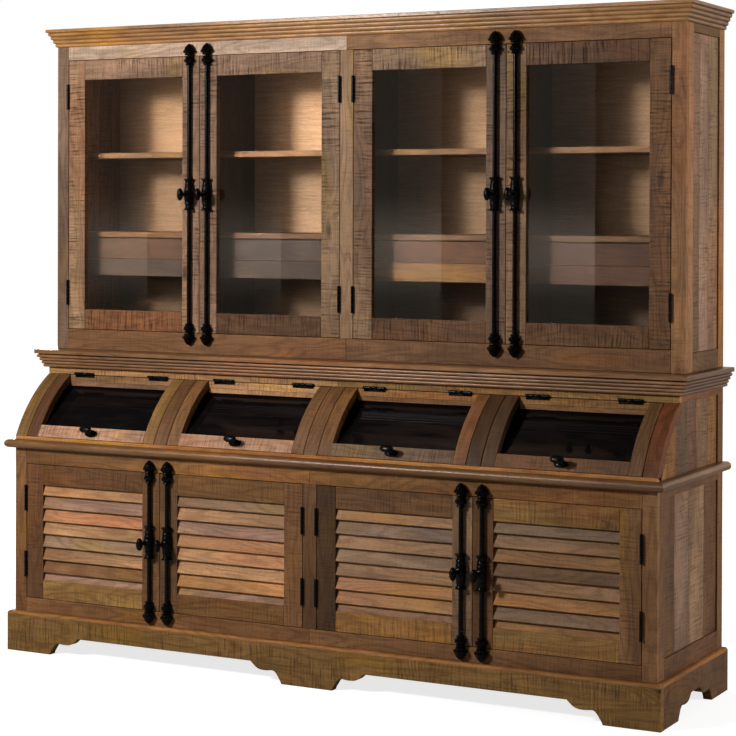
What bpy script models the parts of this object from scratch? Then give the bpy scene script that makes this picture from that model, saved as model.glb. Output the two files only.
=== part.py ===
"""Buffet cabinet: a glazed hutch over curved lift-up flaps and a louvred base.

The cabinet stands on Z = 0 with its front facing -Y and its width along X. Depths are measured from the
back plane towards the front, so a depth becomes a Y coordinate through y_at(). The stack is built from the
floor up: plinth, base, counter ledge, roll-top bins, waist moulding, hutch and crown. Every door, flap, knob,
rod and drawer is its own object with its origin, or its parent empty, on the axis that it moves about.
"""

from __future__ import annotations

import math
from dataclasses import dataclass

import bmesh
import bpy
from mathutils import Matrix, Vector

# Clearances
GAP = 0.0003
DOOR_GAP = 0.002
FACE_CLEARANCE = 0.0005
OVERCUT = 0.001

# Carcass width and depths, measured from the back plane
BODY_WIDTH = 2.390
BASE_DEPTH = 0.607
BIN_TOP_DEPTH = 0.414
HUTCH_DEPTH = 0.365

# Heights of the stack, from the floor up
PLINTH_HEIGHT = 0.139
BASE_BOTTOM_RAIL = 0.0475
BASE_OPENING = 0.472
BASE_TOP_RAIL = 0.0545
LEDGE_THICKNESS = 0.028
SILL_HEIGHT = 0.012
FLAP_OPENING = 0.2075
HEAD_RAIL = 0.022
WAIST_HEIGHT = 0.0645
HUTCH_BOTTOM_RAIL = 0.0715
HUTCH_OPENING = 0.9695
HUTCH_TOP_RAIL = 0.0475
CROWN_HEIGHT = 0.064

# Boards
STILE_WIDTH = 0.048
MULLION_WIDTH = 0.050
FRAME_THICKNESS = 0.022
SIDE_THICKNESS = 0.022
BOARD_THICKNESS = 0.018
BACK_THICKNESS = 0.006
PANEL_RECESS = 0.006
SIDE_FRONT_STILE = 0.066
SIDE_BACK_STILE = 0.049
SIDE_TOP_RAIL = 0.0275
SIDE_BOTTOM_RAIL = 0.060
SEAT_CLEARANCE = 0.003

# Mouldings: how far each stands out from the body below or above it
CROWN_PROJECTION = 0.032
CROWN_FASCIA = 0.012
CROWN_STEP = 0.002
CROWN_REEDS = 4
REED_FOOT = 0.0045
WAIST_PROJECTION = 0.038
WAIST_FASCIA = 0.0145
WAIST_STEP = 0.0035
WAIST_COVE = 0.0215
WAIST_COVE_TOP = 0.0305
WAIST_COVE_FOOT = 0.018
WAIST_BEAD = 0.0145
WAIST_BEAD_FOOT = 0.015
COVE_STEPS = 3
MOULDING_WALL = 0.030
MOULDING_TOP = 0.018
LEDGE_PROJECTION = 0.029
LEDGE_STEPS = 8
PLINTH_PROJECTION = 0.020
PLINTH_BOARD = 0.030
PLINTH_ROUND = 0.010
PLINTH_ROUND_STEPS = 4
FOOT_WIDTH = 0.185
CENTRE_FOOT_WIDTH = 0.190
SIDE_FRONT_FOOT = 0.128
SIDE_BACK_FOOT = 0.155
SCALLOP_RISE = 0.041
SCALLOP_RISE_RUN = 0.036
SCALLOP_FLAT = 0.040
SCALLOP_LIFT_RUN = 0.041
APRON_CLEARANCE = 0.0645
SCALLOP_STEPS = 4

# Doors
DOOR_THICKNESS = 0.024
DOOR_STILE = 0.070
DOOR_RAIL = 0.070
LOUVRED_DOOR_FOOT = 0.065
GLASS_THICKNESS = 0.004
REBATE_WIDTH = 0.010
REBATE_DEPTH = 0.014
SLAT_PITCH = 0.045
TOP_SLAT_DROP = 0.035
SLAT_WIDTH = 0.048
SLAT_THICKNESS = 0.006
SLAT_TILT = math.radians(20.0)
SLAT_TENON = 0.003

# Butt hinges
HINGE_LENGTH = 0.090
HINGE_RADIUS = 0.005
HUTCH_HINGE_INSET = 0.085
BASE_HINGE_INSET = 0.073
KNUCKLE_GAP = 0.0005
LEAF_GRIP = 0.003
LEAF_THICKNESS = 0.003
HINGE_SIDES = 6

# Cremone bolts: heights along the rod, radii about it
CREMONE_SIDES = 8
ROD_RADIUS = 0.006
ROD_CLEARANCE = 0.0005
ROD_FACE_OFFSET = 0.010
CASE_HEIGHT = 0.110
CASE_RADIUS = 0.0180
CASE_NECK_RADIUS = 0.0130
CASE_BODY_RADIUS = 0.0165
CASE_BODY_HEIGHT = 0.044
CASE_RIM = 0.004
CASE_NECK_HEIGHT = 0.076
GUIDE_HEIGHT = 0.033
GUIDE_RADIUS = 0.0165
GUIDE_NECK_RADIUS = 0.0125
GUIDE_COLLAR_FOOT = 0.020
GUIDE_NECK_TOP = 0.0115
KEEPER_HEIGHT = 0.041
KEEPER_RADIUS = 0.0180
KEEPER_NECK_RADIUS = 0.0120
KEEPER_TIP_RADIUS = 0.009
KEEPER_SHOULDER = 0.035
KEEPER_BELLY = 0.0225
KEEPER_NECK = 0.0125
KEEPER_BORE_DEPTH = 0.022
KEEPER_SETBACK = 0.001
ROD_INNER_END = 0.008
ROD_END_CLEARANCE = 0.001
KNOB_REACH = 0.057
KNOB_HALF_WIDTH = 0.011
KNOB_HALF_DEPTH = 0.012
KNOB_HALF_HEIGHT = 0.0215
KNOB_STEM_RADIUS = 0.006
KNOB_RINGS = 7
SPINDLE_RADIUS = 0.004
SPINDLE_CLEARANCE = 0.0004

# Curved flaps
CURVE_RADIUS = 0.480
CURVE_STEPS = 6
FLAP_THICKNESS = 0.026
FLAP_STILE = 0.045
FLAP_TOP_RAIL = 0.075
FLAP_BOTTOM_RAIL = 0.045
FLAP_REBATE_DEPTH = 0.012
RIB_THICKNESS = 0.030
FLAP_HINGE_LENGTH = 0.082
FLAP_HINGE_INSET = 0.070
FLAP_KNOB_RADIUS = 0.014
FLAP_KNOB_HEAD = 0.016
FLAP_KNOB_FACE_RADIUS = 0.0085
FLAP_KNOB_CROWN = 0.002
FLAP_KNOB_LENGTH = 0.044
FLAP_KNOB_STEM_RADIUS = 0.0055
FLAP_KNOB_FOOT_RADIUS = 0.009
FLAP_KNOB_FOOT = 0.003

# Inside the hutch and the base
SHELF_THICKNESS = 0.020
UPPER_SHELF_HEIGHT = 0.6165
LOWER_SHELF_HEIGHT = 0.3315
SHELF_SETBACK = 0.060
DRAWER_FRONT_HEIGHT = 0.135
DRAWER_FRONT_THICKNESS = 0.018
DRAWER_SIDE_THICKNESS = 0.012
DRAWER_BOTTOM_THICKNESS = 0.006
DRAWER_SIDE_GAP = 0.003
DRAWER_TOP_GAP = 0.003
DRAWER_LIFT = 0.014
DRAWER_SIDE_DROP = 0.020
DRAWER_BACK_GAP = 0.015
RUNNER_WIDTH = 0.010
RUNNER_HEIGHT = 0.012
BASE_SHELF_HEIGHT = 0.225
BASE_SHELF_SETBACK = 0.040
CLEAT_SIZE = 0.018

# Empties drawn on the joints' axes
PIVOT_SIZE = 0.050

# Levels worked out from the heights
BASE_Z0 = PLINTH_HEIGHT + GAP
BASE_DOOR_Z0 = BASE_Z0 + BASE_BOTTOM_RAIL
BASE_DOOR_Z1 = BASE_DOOR_Z0 + BASE_OPENING
BASE_Z1 = BASE_DOOR_Z1 + BASE_TOP_RAIL
LEDGE_Z0 = BASE_Z1 + GAP
LEDGE_Z1 = LEDGE_Z0 + LEDGE_THICKNESS
BIN_Z0 = LEDGE_Z1 + GAP
FLAP_Z0 = BIN_Z0 + SILL_HEIGHT
FLAP_Z1 = FLAP_Z0 + FLAP_OPENING
BIN_Z1 = FLAP_Z1 + HEAD_RAIL
WAIST_Z0 = BIN_Z1 + GAP
WAIST_Z1 = WAIST_Z0 + WAIST_HEIGHT
HUTCH_Z0 = WAIST_Z1 + GAP
HUTCH_DOOR_Z0 = HUTCH_Z0 + HUTCH_BOTTOM_RAIL
HUTCH_DOOR_Z1 = HUTCH_DOOR_Z0 + HUTCH_OPENING
HUTCH_Z1 = HUTCH_DOOR_Z1 + HUTCH_TOP_RAIL
CROWN_Z0 = HUTCH_Z1 + GAP
CROWN_Z1 = CROWN_Z0 + CROWN_HEIGHT

# Places worked out from the widths and depths
HALF_BODY = BODY_WIDTH / 2
BAY_WIDTH = (BODY_WIDTH - MULLION_WIDTH) / 2 - STILE_WIDTH
BAY_MIDDLE = (MULLION_WIDTH + BAY_WIDTH) / 2
HINGE_OFFSET = HINGE_RADIUS + FACE_CLEARANCE
FRONT_REACH = ROD_FACE_OFFSET + KNOB_REACH + KNOB_HALF_DEPTH
BACK_Y = (BASE_DEPTH + FRONT_REACH) / 2

WOOD = (0.30, 0.17, 0.08)
PALE_WOOD = (0.56, 0.36, 0.19)
IRON = (0.012, 0.012, 0.013)
GLASS = (0.75, 0.80, 0.80)
DARK_GLASS = (0.02, 0.02, 0.022)


def y_at(depth: float) -> float:
    """Turns a depth, measured from the back plane towards the front, into a Y coordinate."""
    return BACK_Y - depth


@dataclass(frozen=True)
class Leaf:
    """One hinged door: its edges, its front depth, and which way it lies from its hinge."""

    name: str
    x0: float
    x1: float
    z0: float
    z1: float
    depth: float
    hinge_x: float
    away: int
    hinge_inset: float

    @property
    def front(self) -> float:
        """Y of the door's front face."""
        return y_at(self.depth)

    @property
    def bolt_x(self) -> float:
        """X of the cremone rods, down the middle of the stile at the free edge."""
        free_edge = self.x1 if self.away > 0 else self.x0
        return free_edge - self.away * DOOR_STILE / 2

    @property
    def bolt_y(self) -> float:
        """Y of the cremone rods, in front of the door."""
        return self.front - ROD_FACE_OFFSET

    @property
    def middle_z(self) -> float:
        """Height of the cremone case's centre."""
        return (self.z0 + self.z1) / 2

    @property
    def hinge_heights(self) -> tuple[float, float]:
        """Bottom of each of the two hinges."""
        return (self.z0 + self.hinge_inset, self.z1 - self.hinge_inset - HINGE_LENGTH)


def door_leaves(prefix: str, depth: float, opening: tuple[float, float], hinge_inset: float) -> list[Leaf]:
    """Lists the four doors of a row, left to right, in two pairs that meet at the middle of each bay."""
    leaves = []
    for bay in (-1, 1):
        middle = bay * BAY_MIDDLE
        for away in (1, -1):
            outer = middle - away * BAY_WIDTH / 2
            edge = outer + away * DOOR_GAP
            meeting = middle - away * DOOR_GAP / 2
            leaves.append(Leaf(
                name=f"{prefix}_{len(leaves) + 1}",
                x0=min(edge, meeting),
                x1=max(edge, meeting),
                z0=opening[0] + DOOR_GAP,
                z1=opening[1] - DOOR_GAP,
                depth=depth,
                hinge_x=outer + away * DOOR_GAP / 2,
                away=away,
                hinge_inset=hinge_inset,
            ))
    return leaves


def clear_scene() -> None:
    """Removes whatever the open file holds, so the model starts from nothing."""
    for item in list(bpy.data.objects):
        bpy.data.objects.remove(item, do_unlink=True)


def make_material(name: str, color: tuple, roughness: float, metallic: float = 0.0) -> bpy.types.Material:
    """Makes a plain Principled material."""
    material = bpy.data.materials.new(name)
    material.use_nodes = True
    shader = material.node_tree.nodes["Principled BSDF"]
    shader.inputs["Base Color"].default_value = (*color, 1.0)
    shader.inputs["Roughness"].default_value = roughness
    shader.inputs["Metallic"].default_value = metallic
    material.diffuse_color = (*color, 1.0)
    return material


def object_from(mesh: bpy.types.Mesh, name: str = "piece") -> bpy.types.Object:
    """Wraps a mesh in an object that is linked to the scene."""
    item = bpy.data.objects.new(name, mesh)
    bpy.context.scene.collection.objects.link(item)
    return item


def object_from_bmesh(shape: bmesh.types.BMesh) -> bpy.types.Object:
    """Turns a finished bmesh into an object."""
    mesh = bpy.data.meshes.new("piece")
    bmesh.ops.recalc_face_normals(shape, faces=shape.faces)
    shape.to_mesh(mesh)
    shape.free()
    return object_from(mesh)


def box(x0: float, x1: float, y0: float, y1: float, z0: float, z1: float) -> bpy.types.Object:
    """Makes a box between two opposite corners, given in any order."""
    low = Vector((min(x0, x1), min(y0, y1), min(z0, z1)))
    high = Vector((max(x0, x1), max(y0, y1), max(z0, z1)))
    shape = bmesh.new()
    place = Matrix.Translation((low + high) / 2) @ Matrix.Diagonal((*(high - low), 1.0))
    bmesh.ops.create_cube(shape, size=1.0, matrix=place)
    return object_from_bmesh(shape)


def rod(start: Vector, end: Vector, radius: float, sides: int) -> bpy.types.Object:
    """Makes a cylinder from one point to another."""
    start, end = Vector(start), Vector(end)
    along = end - start
    turn = along.to_track_quat("Z", "Y").to_matrix().to_4x4()
    shape = bmesh.new()
    bmesh.ops.create_cone(
        shape,
        cap_ends=True,
        segments=sides,
        radius1=radius,
        radius2=radius,
        depth=along.length,
        matrix=Matrix.Translation((start + end) / 2) @ turn,
    )
    return object_from_bmesh(shape)


def oval(centre: Vector, half_sizes: Vector) -> bpy.types.Object:
    """Makes an ellipsoid about a centre."""
    shape = bmesh.new()
    place = Matrix.Translation(centre) @ Matrix.Diagonal((*half_sizes, 1.0))
    bmesh.ops.create_uvsphere(
        shape,
        u_segments=CREMONE_SIDES,
        v_segments=KNOB_RINGS,
        radius=1.0,
        matrix=place,
    )
    return object_from_bmesh(shape)


def evaluated_mesh(item: bpy.types.Object) -> bpy.types.Mesh:
    """Reads an object's mesh with its modifiers applied."""
    depsgraph = bpy.context.evaluated_depsgraph_get()
    return bpy.data.meshes.new_from_object(item.evaluated_get(depsgraph))


def outline_x(points: list[tuple[float, float]], x0: float, x1: float) -> bpy.types.Object:
    """Extrudes a closed outline of (depth, height) points along X."""
    flat = [(y_at(depth), height) for depth, height in points]
    turn = Matrix(((0, 0, 1), (1, 0, 0), (0, 1, 0))).to_4x4()
    return extruded(flat, abs(x1 - x0), Matrix.Translation(((x0 + x1) / 2, 0, 0)) @ turn)


def outline_y(points: list[tuple[float, float]], y0: float, y1: float) -> bpy.types.Object:
    """Extrudes a closed outline of (X, height) points along Y."""
    turn = Matrix(((1, 0, 0), (0, 0, -1), (0, 1, 0))).to_4x4()
    return extruded(points, abs(y1 - y0), Matrix.Translation((0, (y0 + y1) / 2, 0)) @ turn)


def extruded(points: list[tuple[float, float]], length: float, place: Matrix) -> bpy.types.Object:
    """Fills a flat outline, gives it thickness and puts it in place as a mesh."""
    curve = bpy.data.curves.new("outline", "CURVE")
    curve.dimensions = "2D"
    curve.fill_mode = "BOTH"
    curve.extrude = length / 2
    spline = curve.splines.new("POLY")
    spline.points.add(len(points) - 1)
    for point, (u, v) in zip(spline.points, points):
        point.co = (u, v, 0.0, 1.0)
    spline.use_cyclic_u = True
    drawn = bpy.data.objects.new("outline", curve)
    bpy.context.scene.collection.objects.link(drawn)
    bpy.context.view_layer.update()
    mesh = evaluated_mesh(drawn)
    bpy.data.objects.remove(drawn)
    bpy.data.curves.remove(curve)
    shape = bmesh.new()
    shape.from_mesh(mesh)
    bpy.data.meshes.remove(mesh)
    bmesh.ops.remove_doubles(shape, verts=shape.verts, dist=1e-6)
    bmesh.ops.dissolve_limit(shape, angle_limit=1e-4, verts=shape.verts, edges=shape.edges)
    bmesh.ops.transform(shape, matrix=place, verts=shape.verts)
    return object_from_bmesh(shape)


def turned(profile: list[tuple[float, float]], origin: Vector, axis: Vector, closed: bool,
           sides: int = CREMONE_SIDES) -> bpy.types.Object:
    """Turns a profile of (radius, height) points about an axis.

    Args:
        profile: Points that run down the outer side, top to bottom.
        origin: Where height 0 lies.
        axis: The direction of growing height.
        closed: True when the profile is a ring section, such as a tube's wall.
        sides: Number of flat sides round the axis.

    Returns:
        One closed solid.
    """
    mesh = bpy.data.meshes.new("profile")
    count = len(profile)
    edges = [(i, i + 1) for i in range(count - 1)]
    if closed:
        edges.append((count - 1, 0))
    mesh.from_pydata([(radius, 0.0, height) for radius, height in profile], edges, [])
    item = object_from(mesh)
    screw = item.modifiers.new("Screw", "SCREW")
    screw.steps = sides
    screw.render_steps = sides
    screw.use_merge_vertices = True
    screw.merge_threshold = 1e-5
    result = bmesh.new()
    spun = evaluated_mesh(item)
    result.from_mesh(spun)
    bpy.data.objects.remove(item)
    bmesh.ops.remove_doubles(result, verts=result.verts, dist=1e-6)
    turn = Vector(axis).to_track_quat("Z", "Y").to_matrix().to_4x4()
    bmesh.ops.transform(result, matrix=Matrix.Translation(origin) @ turn, verts=result.verts)
    return object_from_bmesh(result)


def combine(base: bpy.types.Object, others: list[bpy.types.Object], operation: str) -> bpy.types.Object:
    """Joins others to a solid, cuts them from it, or keeps what they share, and removes them."""
    tools = bpy.data.collections.new("tools")
    bpy.context.scene.collection.children.link(tools)
    for other in others:
        bpy.context.scene.collection.objects.unlink(other)
        tools.objects.link(other)
    modifier = base.modifiers.new("Boolean", "BOOLEAN")
    modifier.operation = operation
    modifier.operand_type = "COLLECTION"
    modifier.collection = tools
    mesh = evaluated_mesh(base)
    base.modifiers.clear()
    base.data = mesh
    for other in list(tools.objects):
        bpy.data.objects.remove(other)
    bpy.data.collections.remove(tools)
    shape = bmesh.new()
    shape.from_mesh(mesh)
    bmesh.ops.remove_doubles(shape, verts=shape.verts, dist=1e-6)
    bmesh.ops.dissolve_limit(shape, angle_limit=1e-4, verts=shape.verts, edges=shape.edges)
    shape.to_mesh(mesh)
    shape.free()
    return base


def fuse(pieces: list[bpy.types.Object]) -> bpy.types.Object:
    """Joins pieces that overlap into one solid."""
    return combine(pieces[0], pieces[1:], "UNION")


def cut(base: bpy.types.Object, cutters: list[bpy.types.Object]) -> bpy.types.Object:
    """Cuts the cutters from a solid."""
    return combine(base, cutters, "DIFFERENCE")


class Assembly:
    """Names the finished solids, gives them their materials and collects them."""

    def __init__(self, name: str) -> None:
        self.collection = bpy.data.collections.new(name)
        bpy.context.scene.collection.children.link(self.collection)
        self.materials = {
            "wood": make_material("mango_wood", WOOD, 0.75),
            "pale": make_material("pale_plywood", PALE_WOOD, 0.7),
            "iron": make_material("black_iron", IRON, 0.4, 1.0),
            "glass": make_material("clear_glass", GLASS, 0.05),
            "dark_glass": make_material("dark_glass", DARK_GLASS, 0.08),
        }

    def pivot(self, name: str, place: Vector) -> bpy.types.Object:
        """Adds an empty on a joint's axis."""
        empty = bpy.data.objects.new(name, None)
        empty.location = place
        empty.empty_display_size = PIVOT_SIZE
        self.collection.objects.link(empty)
        return empty

    def add(self, item: bpy.types.Object, name: str, material: str, origin: Vector = Vector((0, 0, 0)),
            parent: bpy.types.Object | None = None) -> bpy.types.Object:
        """Names a solid, moves its origin and parents it, leaving its shape where it is."""
        bpy.context.scene.collection.objects.unlink(item)
        self.collection.objects.link(item)
        item.name = name
        item.data.name = name
        item.data.materials.clear()
        item.data.materials.append(self.materials[material])
        item.data.transform(Matrix.Translation(-origin))
        item.data.shade_smooth()
        item.data.set_sharp_from_angle(angle=math.radians(40))
        item.location = origin
        if parent is not None:
            item.parent = parent
            item.location = origin - parent.location
        return item


def moulded_slab(profile: list[tuple[float, float]], depth: float) -> bpy.types.Object:
    """Makes a slab whose moulded edge runs round the front and both sides and mitres at the corners.

    Args:
        profile: (projection, height) points from top to bottom, measured from the body's faces.
        depth: Depth of the body that the projection is measured from.
    """
    front = [(depth + projection, height) for projection, height in profile]
    long_section = front + [(0.0, profile[-1][1]), (0.0, profile[0][1])]
    widest = HALF_BODY + max(projection for projection, _ in profile) + OVERCUT
    along = outline_x(long_section, -widest, widest)
    right = [(HALF_BODY + projection, height) for projection, height in profile]
    left = [(-x, height) for x, height in reversed(right)]
    deepest = y_at(depth + max(projection for projection, _ in profile) + OVERCUT)
    across = outline_y(right + left, deepest, y_at(-OVERCUT))
    return combine(along, [across], "INTERSECT")


def hollow_below(slab: bpy.types.Object, depth: float, z0: float, z1: float) -> bpy.types.Object:
    """Cuts the underside of a moulding, leaving its wall all round and its top board."""
    inner = HALF_BODY - MOULDING_WALL
    cavity = box(-inner, inner, y_at(MOULDING_WALL), y_at(depth - MOULDING_WALL),
                 z0 - OVERCUT, z1 - MOULDING_TOP)
    return cut(slab, [cavity])


def crown_profile() -> list[tuple[float, float]]:
    """The crown's edge: a flat fascia over reeds that step in towards the hutch."""
    points = [(0.0, CROWN_Z0)]
    reed_height = (CROWN_HEIGHT - CROWN_FASCIA) / CROWN_REEDS
    reed_step = CROWN_PROJECTION / (CROWN_REEDS + 1)
    for reed in range(CROWN_REEDS):
        foot = CROWN_Z0 + reed * reed_height
        points.append((reed * reed_step + reed_step, foot + REED_FOOT))
        points.append((reed * reed_step + reed_step, foot + reed_height))
    top = CROWN_Z0 + CROWN_REEDS * reed_height
    points.append((CROWN_PROJECTION, top + CROWN_STEP))
    points.append((CROWN_PROJECTION, CROWN_Z1))
    return list(reversed(points))


def waist_profile() -> list[tuple[float, float]]:
    """The waist's edge: a fascia, a cove and a rounded bead down to the bins."""
    fascia_foot = WAIST_Z1 - WAIST_FASCIA
    cove_top = fascia_foot - WAIST_STEP
    cove_foot = cove_top - WAIST_COVE
    points = [(WAIST_PROJECTION, WAIST_Z1), (WAIST_PROJECTION, fascia_foot), (WAIST_COVE_TOP, cove_top)]
    for step in range(1, COVE_STEPS + 1):
        angle = math.pi / 2 * step / COVE_STEPS
        hollow = (WAIST_COVE_TOP - WAIST_COVE_FOOT) * (1 - math.sin(angle))
        points.append((WAIST_COVE_FOOT + hollow, cove_foot + WAIST_COVE * math.cos(angle)))
    points.append((WAIST_BEAD_FOOT, cove_foot - WAIST_BEAD))
    points.append((0.0, WAIST_Z0))
    return points


def ledge_profile() -> list[tuple[float, float]]:
    """The counter's half-round nose."""
    radius = LEDGE_THICKNESS / 2
    middle = (LEDGE_Z0 + LEDGE_Z1) / 2
    points = []
    for step in range(LEDGE_STEPS + 1):
        angle = math.pi / 2 - math.pi * step / LEDGE_STEPS
        points.append((LEDGE_PROJECTION - radius + radius * math.cos(angle),
                       middle + radius * math.sin(angle)))
    return points


def plinth_profile() -> list[tuple[float, float]]:
    """The plinth's face with its rounded top edge."""
    points = []
    for step in range(PLINTH_ROUND_STEPS + 1):
        angle = math.pi / 2 * (1 - step / PLINTH_ROUND_STEPS)
        points.append((PLINTH_PROJECTION - PLINTH_ROUND + PLINTH_ROUND * math.cos(angle),
                       PLINTH_HEIGHT - PLINTH_ROUND + PLINTH_ROUND * math.sin(angle)))
    points.append((PLINTH_PROJECTION, 0.0))
    return points


def scallop(start: float, direction: int) -> list[tuple[float, float]]:
    """One scalloped end of an apron cut, from the foot's edge at the floor up to the apron.

    A quarter round rises beside the foot, a flat follows it, and a hollow lifts to the apron's underside.
    """
    points = [(start, -OVERCUT)]
    for step in range(SCALLOP_STEPS + 1):
        angle = math.pi / 2 * step / SCALLOP_STEPS
        run = SCALLOP_RISE_RUN * (1 - math.cos(angle))
        points.append((start + direction * run, SCALLOP_RISE * math.sin(angle)))
    lift = APRON_CLEARANCE - SCALLOP_RISE
    for step in range(SCALLOP_STEPS + 1):
        share = step / SCALLOP_STEPS
        run = SCALLOP_RISE_RUN + SCALLOP_FLAT + SCALLOP_LIFT_RUN * share
        points.append((start + direction * run, SCALLOP_RISE + lift * share ** 2))
    return points


def apron_cut(left_foot: float, right_foot: float) -> list[tuple[float, float]]:
    """The outline that is cut from an apron between two feet."""
    return scallop(left_foot, 1) + list(reversed(scallop(right_foot, -1)))


def build_plinth(assembly: Assembly) -> None:
    """Plinth: a boxed frame with a rounded top edge and scalloped aprons between its feet."""
    body = moulded_slab(plinth_profile(), BASE_DEPTH)
    half = HALF_BODY + PLINTH_PROJECTION
    depth = BASE_DEPTH + PLINTH_PROJECTION
    well = box(-half + PLINTH_BOARD, half - PLINTH_BOARD, y_at(PLINTH_BOARD), y_at(depth - PLINTH_BOARD),
               -OVERCUT, PLINTH_HEIGHT + OVERCUT)
    cutters = [well]
    for side in (-1, 1):
        ends = sorted((side * (half - FOOT_WIDTH), side * CENTRE_FOOT_WIDTH / 2))
        cutters.append(outline_y(apron_cut(*ends), y_at(depth + OVERCUT), y_at(-OVERCUT)))
    side_cut = apron_cut(SIDE_BACK_FOOT, depth - SIDE_FRONT_FOOT)
    cutters.append(outline_x(side_cut, -half - OVERCUT, half + OVERCUT))
    assembly.add(cut(body, cutters), "plinth", "wood")


def side_recesses(depth: float, z0: float, z1: float) -> list[bpy.types.Object]:
    """Cutters that leave a framed panel on both outer faces of a carcass."""
    cutters = []
    for side in (-1, 1):
        cutters.append(box(side * (HALF_BODY - PANEL_RECESS), side * (HALF_BODY + OVERCUT),
                           y_at(SIDE_BACK_STILE), y_at(depth - SIDE_FRONT_STILE),
                           z0 + SIDE_BOTTOM_RAIL, z1 - SIDE_TOP_RAIL))
    return cutters


def hinge_blocks(leaf: Leaf, on_door: bool) -> list[bpy.types.Object]:
    """The knuckles of a door's two hinges that turn with the door, or those that stay on the stile."""
    axis_y = leaf.front - HINGE_OFFSET
    knuckle = (HINGE_LENGTH - 2 * KNUCKLE_GAP) / 3
    pieces = []
    for bottom in leaf.hinge_heights:
        places = (1,) if on_door else (0, 2)
        for place in places:
            z0 = bottom + place * (knuckle + KNUCKLE_GAP)
            pieces.append(rod((leaf.hinge_x, axis_y, z0), (leaf.hinge_x, axis_y, z0 + knuckle),
                              HINGE_RADIUS, HINGE_SIDES))
            reach = (DOOR_GAP / 2 + LEAF_GRIP) * (leaf.away if on_door else -leaf.away)
            pieces.append(box(leaf.hinge_x, leaf.hinge_x + reach, axis_y, leaf.front + OVERCUT,
                              z0, z0 + knuckle))
    return pieces


def bore_radius() -> float:
    """Radius of the bores that the rods slide in, with as many sides as the rods."""
    return ROD_RADIUS + ROD_CLEARANCE


def cremone_case(leaf: Leaf) -> list[bpy.types.Object]:
    """The bolt's centre case and its two guides, which sit on the door."""
    bore = bore_radius()
    half = CASE_HEIGHT / 2
    neck = CASE_NECK_HEIGHT / 2
    body = CASE_BODY_HEIGHT / 2
    case = [
        (CASE_RADIUS, half), (CASE_RADIUS, half - CASE_RIM), (CASE_NECK_RADIUS, neck),
        (CASE_BODY_RADIUS, body), (CASE_BODY_RADIUS, -body), (CASE_NECK_RADIUS, -neck),
        (CASE_RADIUS, -half + CASE_RIM), (CASE_RADIUS, -half), (bore, -half), (bore, half),
    ]
    pieces = [turned(case, Vector((leaf.bolt_x, leaf.bolt_y, leaf.middle_z)), Vector((0, 0, 1)), True)]
    guide = [
        (GUIDE_RADIUS, GUIDE_HEIGHT), (GUIDE_RADIUS, GUIDE_COLLAR_FOOT), (GUIDE_NECK_RADIUS, GUIDE_NECK_TOP),
        (GUIDE_NECK_RADIUS, 0.0), (bore, 0.0), (bore, GUIDE_HEIGHT),
    ]
    for edge, direction in ((leaf.z1, 1), (leaf.z0, -1)):
        foot = Vector((leaf.bolt_x, leaf.bolt_y, edge - direction * GUIDE_HEIGHT))
        pieces.append(turned(guide, foot, Vector((0, 0, direction)), True))
    return pieces


def keepers(leaf: Leaf, opening_z0: float, opening_z1: float) -> list[bpy.types.Object]:
    """The acorn-shaped keepers on the rails above and below a door, bored for the rods."""
    bore = bore_radius()
    acorn = [
        (0.0, KEEPER_HEIGHT), (KEEPER_TIP_RADIUS, KEEPER_SHOULDER), (KEEPER_RADIUS, KEEPER_BELLY),
        (KEEPER_NECK_RADIUS, KEEPER_NECK), (KEEPER_RADIUS, 0.0), (bore, 0.0), (bore, KEEPER_BORE_DEPTH),
        (0.0, KEEPER_BORE_DEPTH),
    ]
    pieces = []
    for edge, direction in ((opening_z1, 1), (opening_z0, -1)):
        foot = Vector((leaf.bolt_x, leaf.bolt_y, edge + direction * KEEPER_SETBACK))
        pieces.append(turned(acorn, foot, Vector((0, 0, direction)), False))
    return pieces


def build_bolt(assembly: Assembly, leaf: Leaf, pivot: bpy.types.Object) -> None:
    """The moving pieces of a cremone bolt: the oval knob and the two rods that it drives."""
    axis = Vector((leaf.bolt_x, leaf.bolt_y, leaf.middle_z))
    forward = Vector((0, -1, 0))
    head = axis + forward * KNOB_REACH
    stem_start = axis + forward * (CASE_BODY_RADIUS + GAP)
    knob = fuse([
        rod(axis, head, SPINDLE_RADIUS, CREMONE_SIDES),
        rod(stem_start, head, KNOB_STEM_RADIUS, CREMONE_SIDES),
        oval(head, Vector((KNOB_HALF_WIDTH, KNOB_HALF_DEPTH, KNOB_HALF_HEIGHT))),
    ])
    assembly.add(knob, f"{leaf.name}_knob", "iron", axis, pivot)
    upper_end = leaf.z1 - ROD_END_CLEARANCE
    lower_end = leaf.z0 + ROD_END_CLEARANCE
    for end, label in ((upper_end, "upper_rod"), (lower_end, "lower_rod")):
        direction = 1 if end > axis.z else -1
        start = axis + Vector((0, 0, direction * ROD_INNER_END))
        bar = rod(start, Vector((axis.x, axis.y, end)), ROD_RADIUS, CREMONE_SIDES)
        assembly.add(bar, f"{leaf.name}_{label}", "iron", start, pivot)


def spindle_hole(leaf: Leaf) -> bpy.types.Object:
    """Cutter for the hole in the case's front through which the knob's spindle passes."""
    axis = Vector((leaf.bolt_x, leaf.bolt_y, leaf.middle_z))
    radius = (SPINDLE_RADIUS + SPINDLE_CLEARANCE) / math.cos(math.pi / CREMONE_SIDES)
    return rod(axis, axis + Vector((0, -CASE_RADIUS - ROD_RADIUS, 0)), radius, CREMONE_SIDES)


def door_pivot(assembly: Assembly, leaf: Leaf) -> bpy.types.Object:
    """The empty on a door's hinge axis."""
    return assembly.pivot(f"{leaf.name}_hinge", Vector((leaf.hinge_x, leaf.front - HINGE_OFFSET, leaf.z0)))


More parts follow.
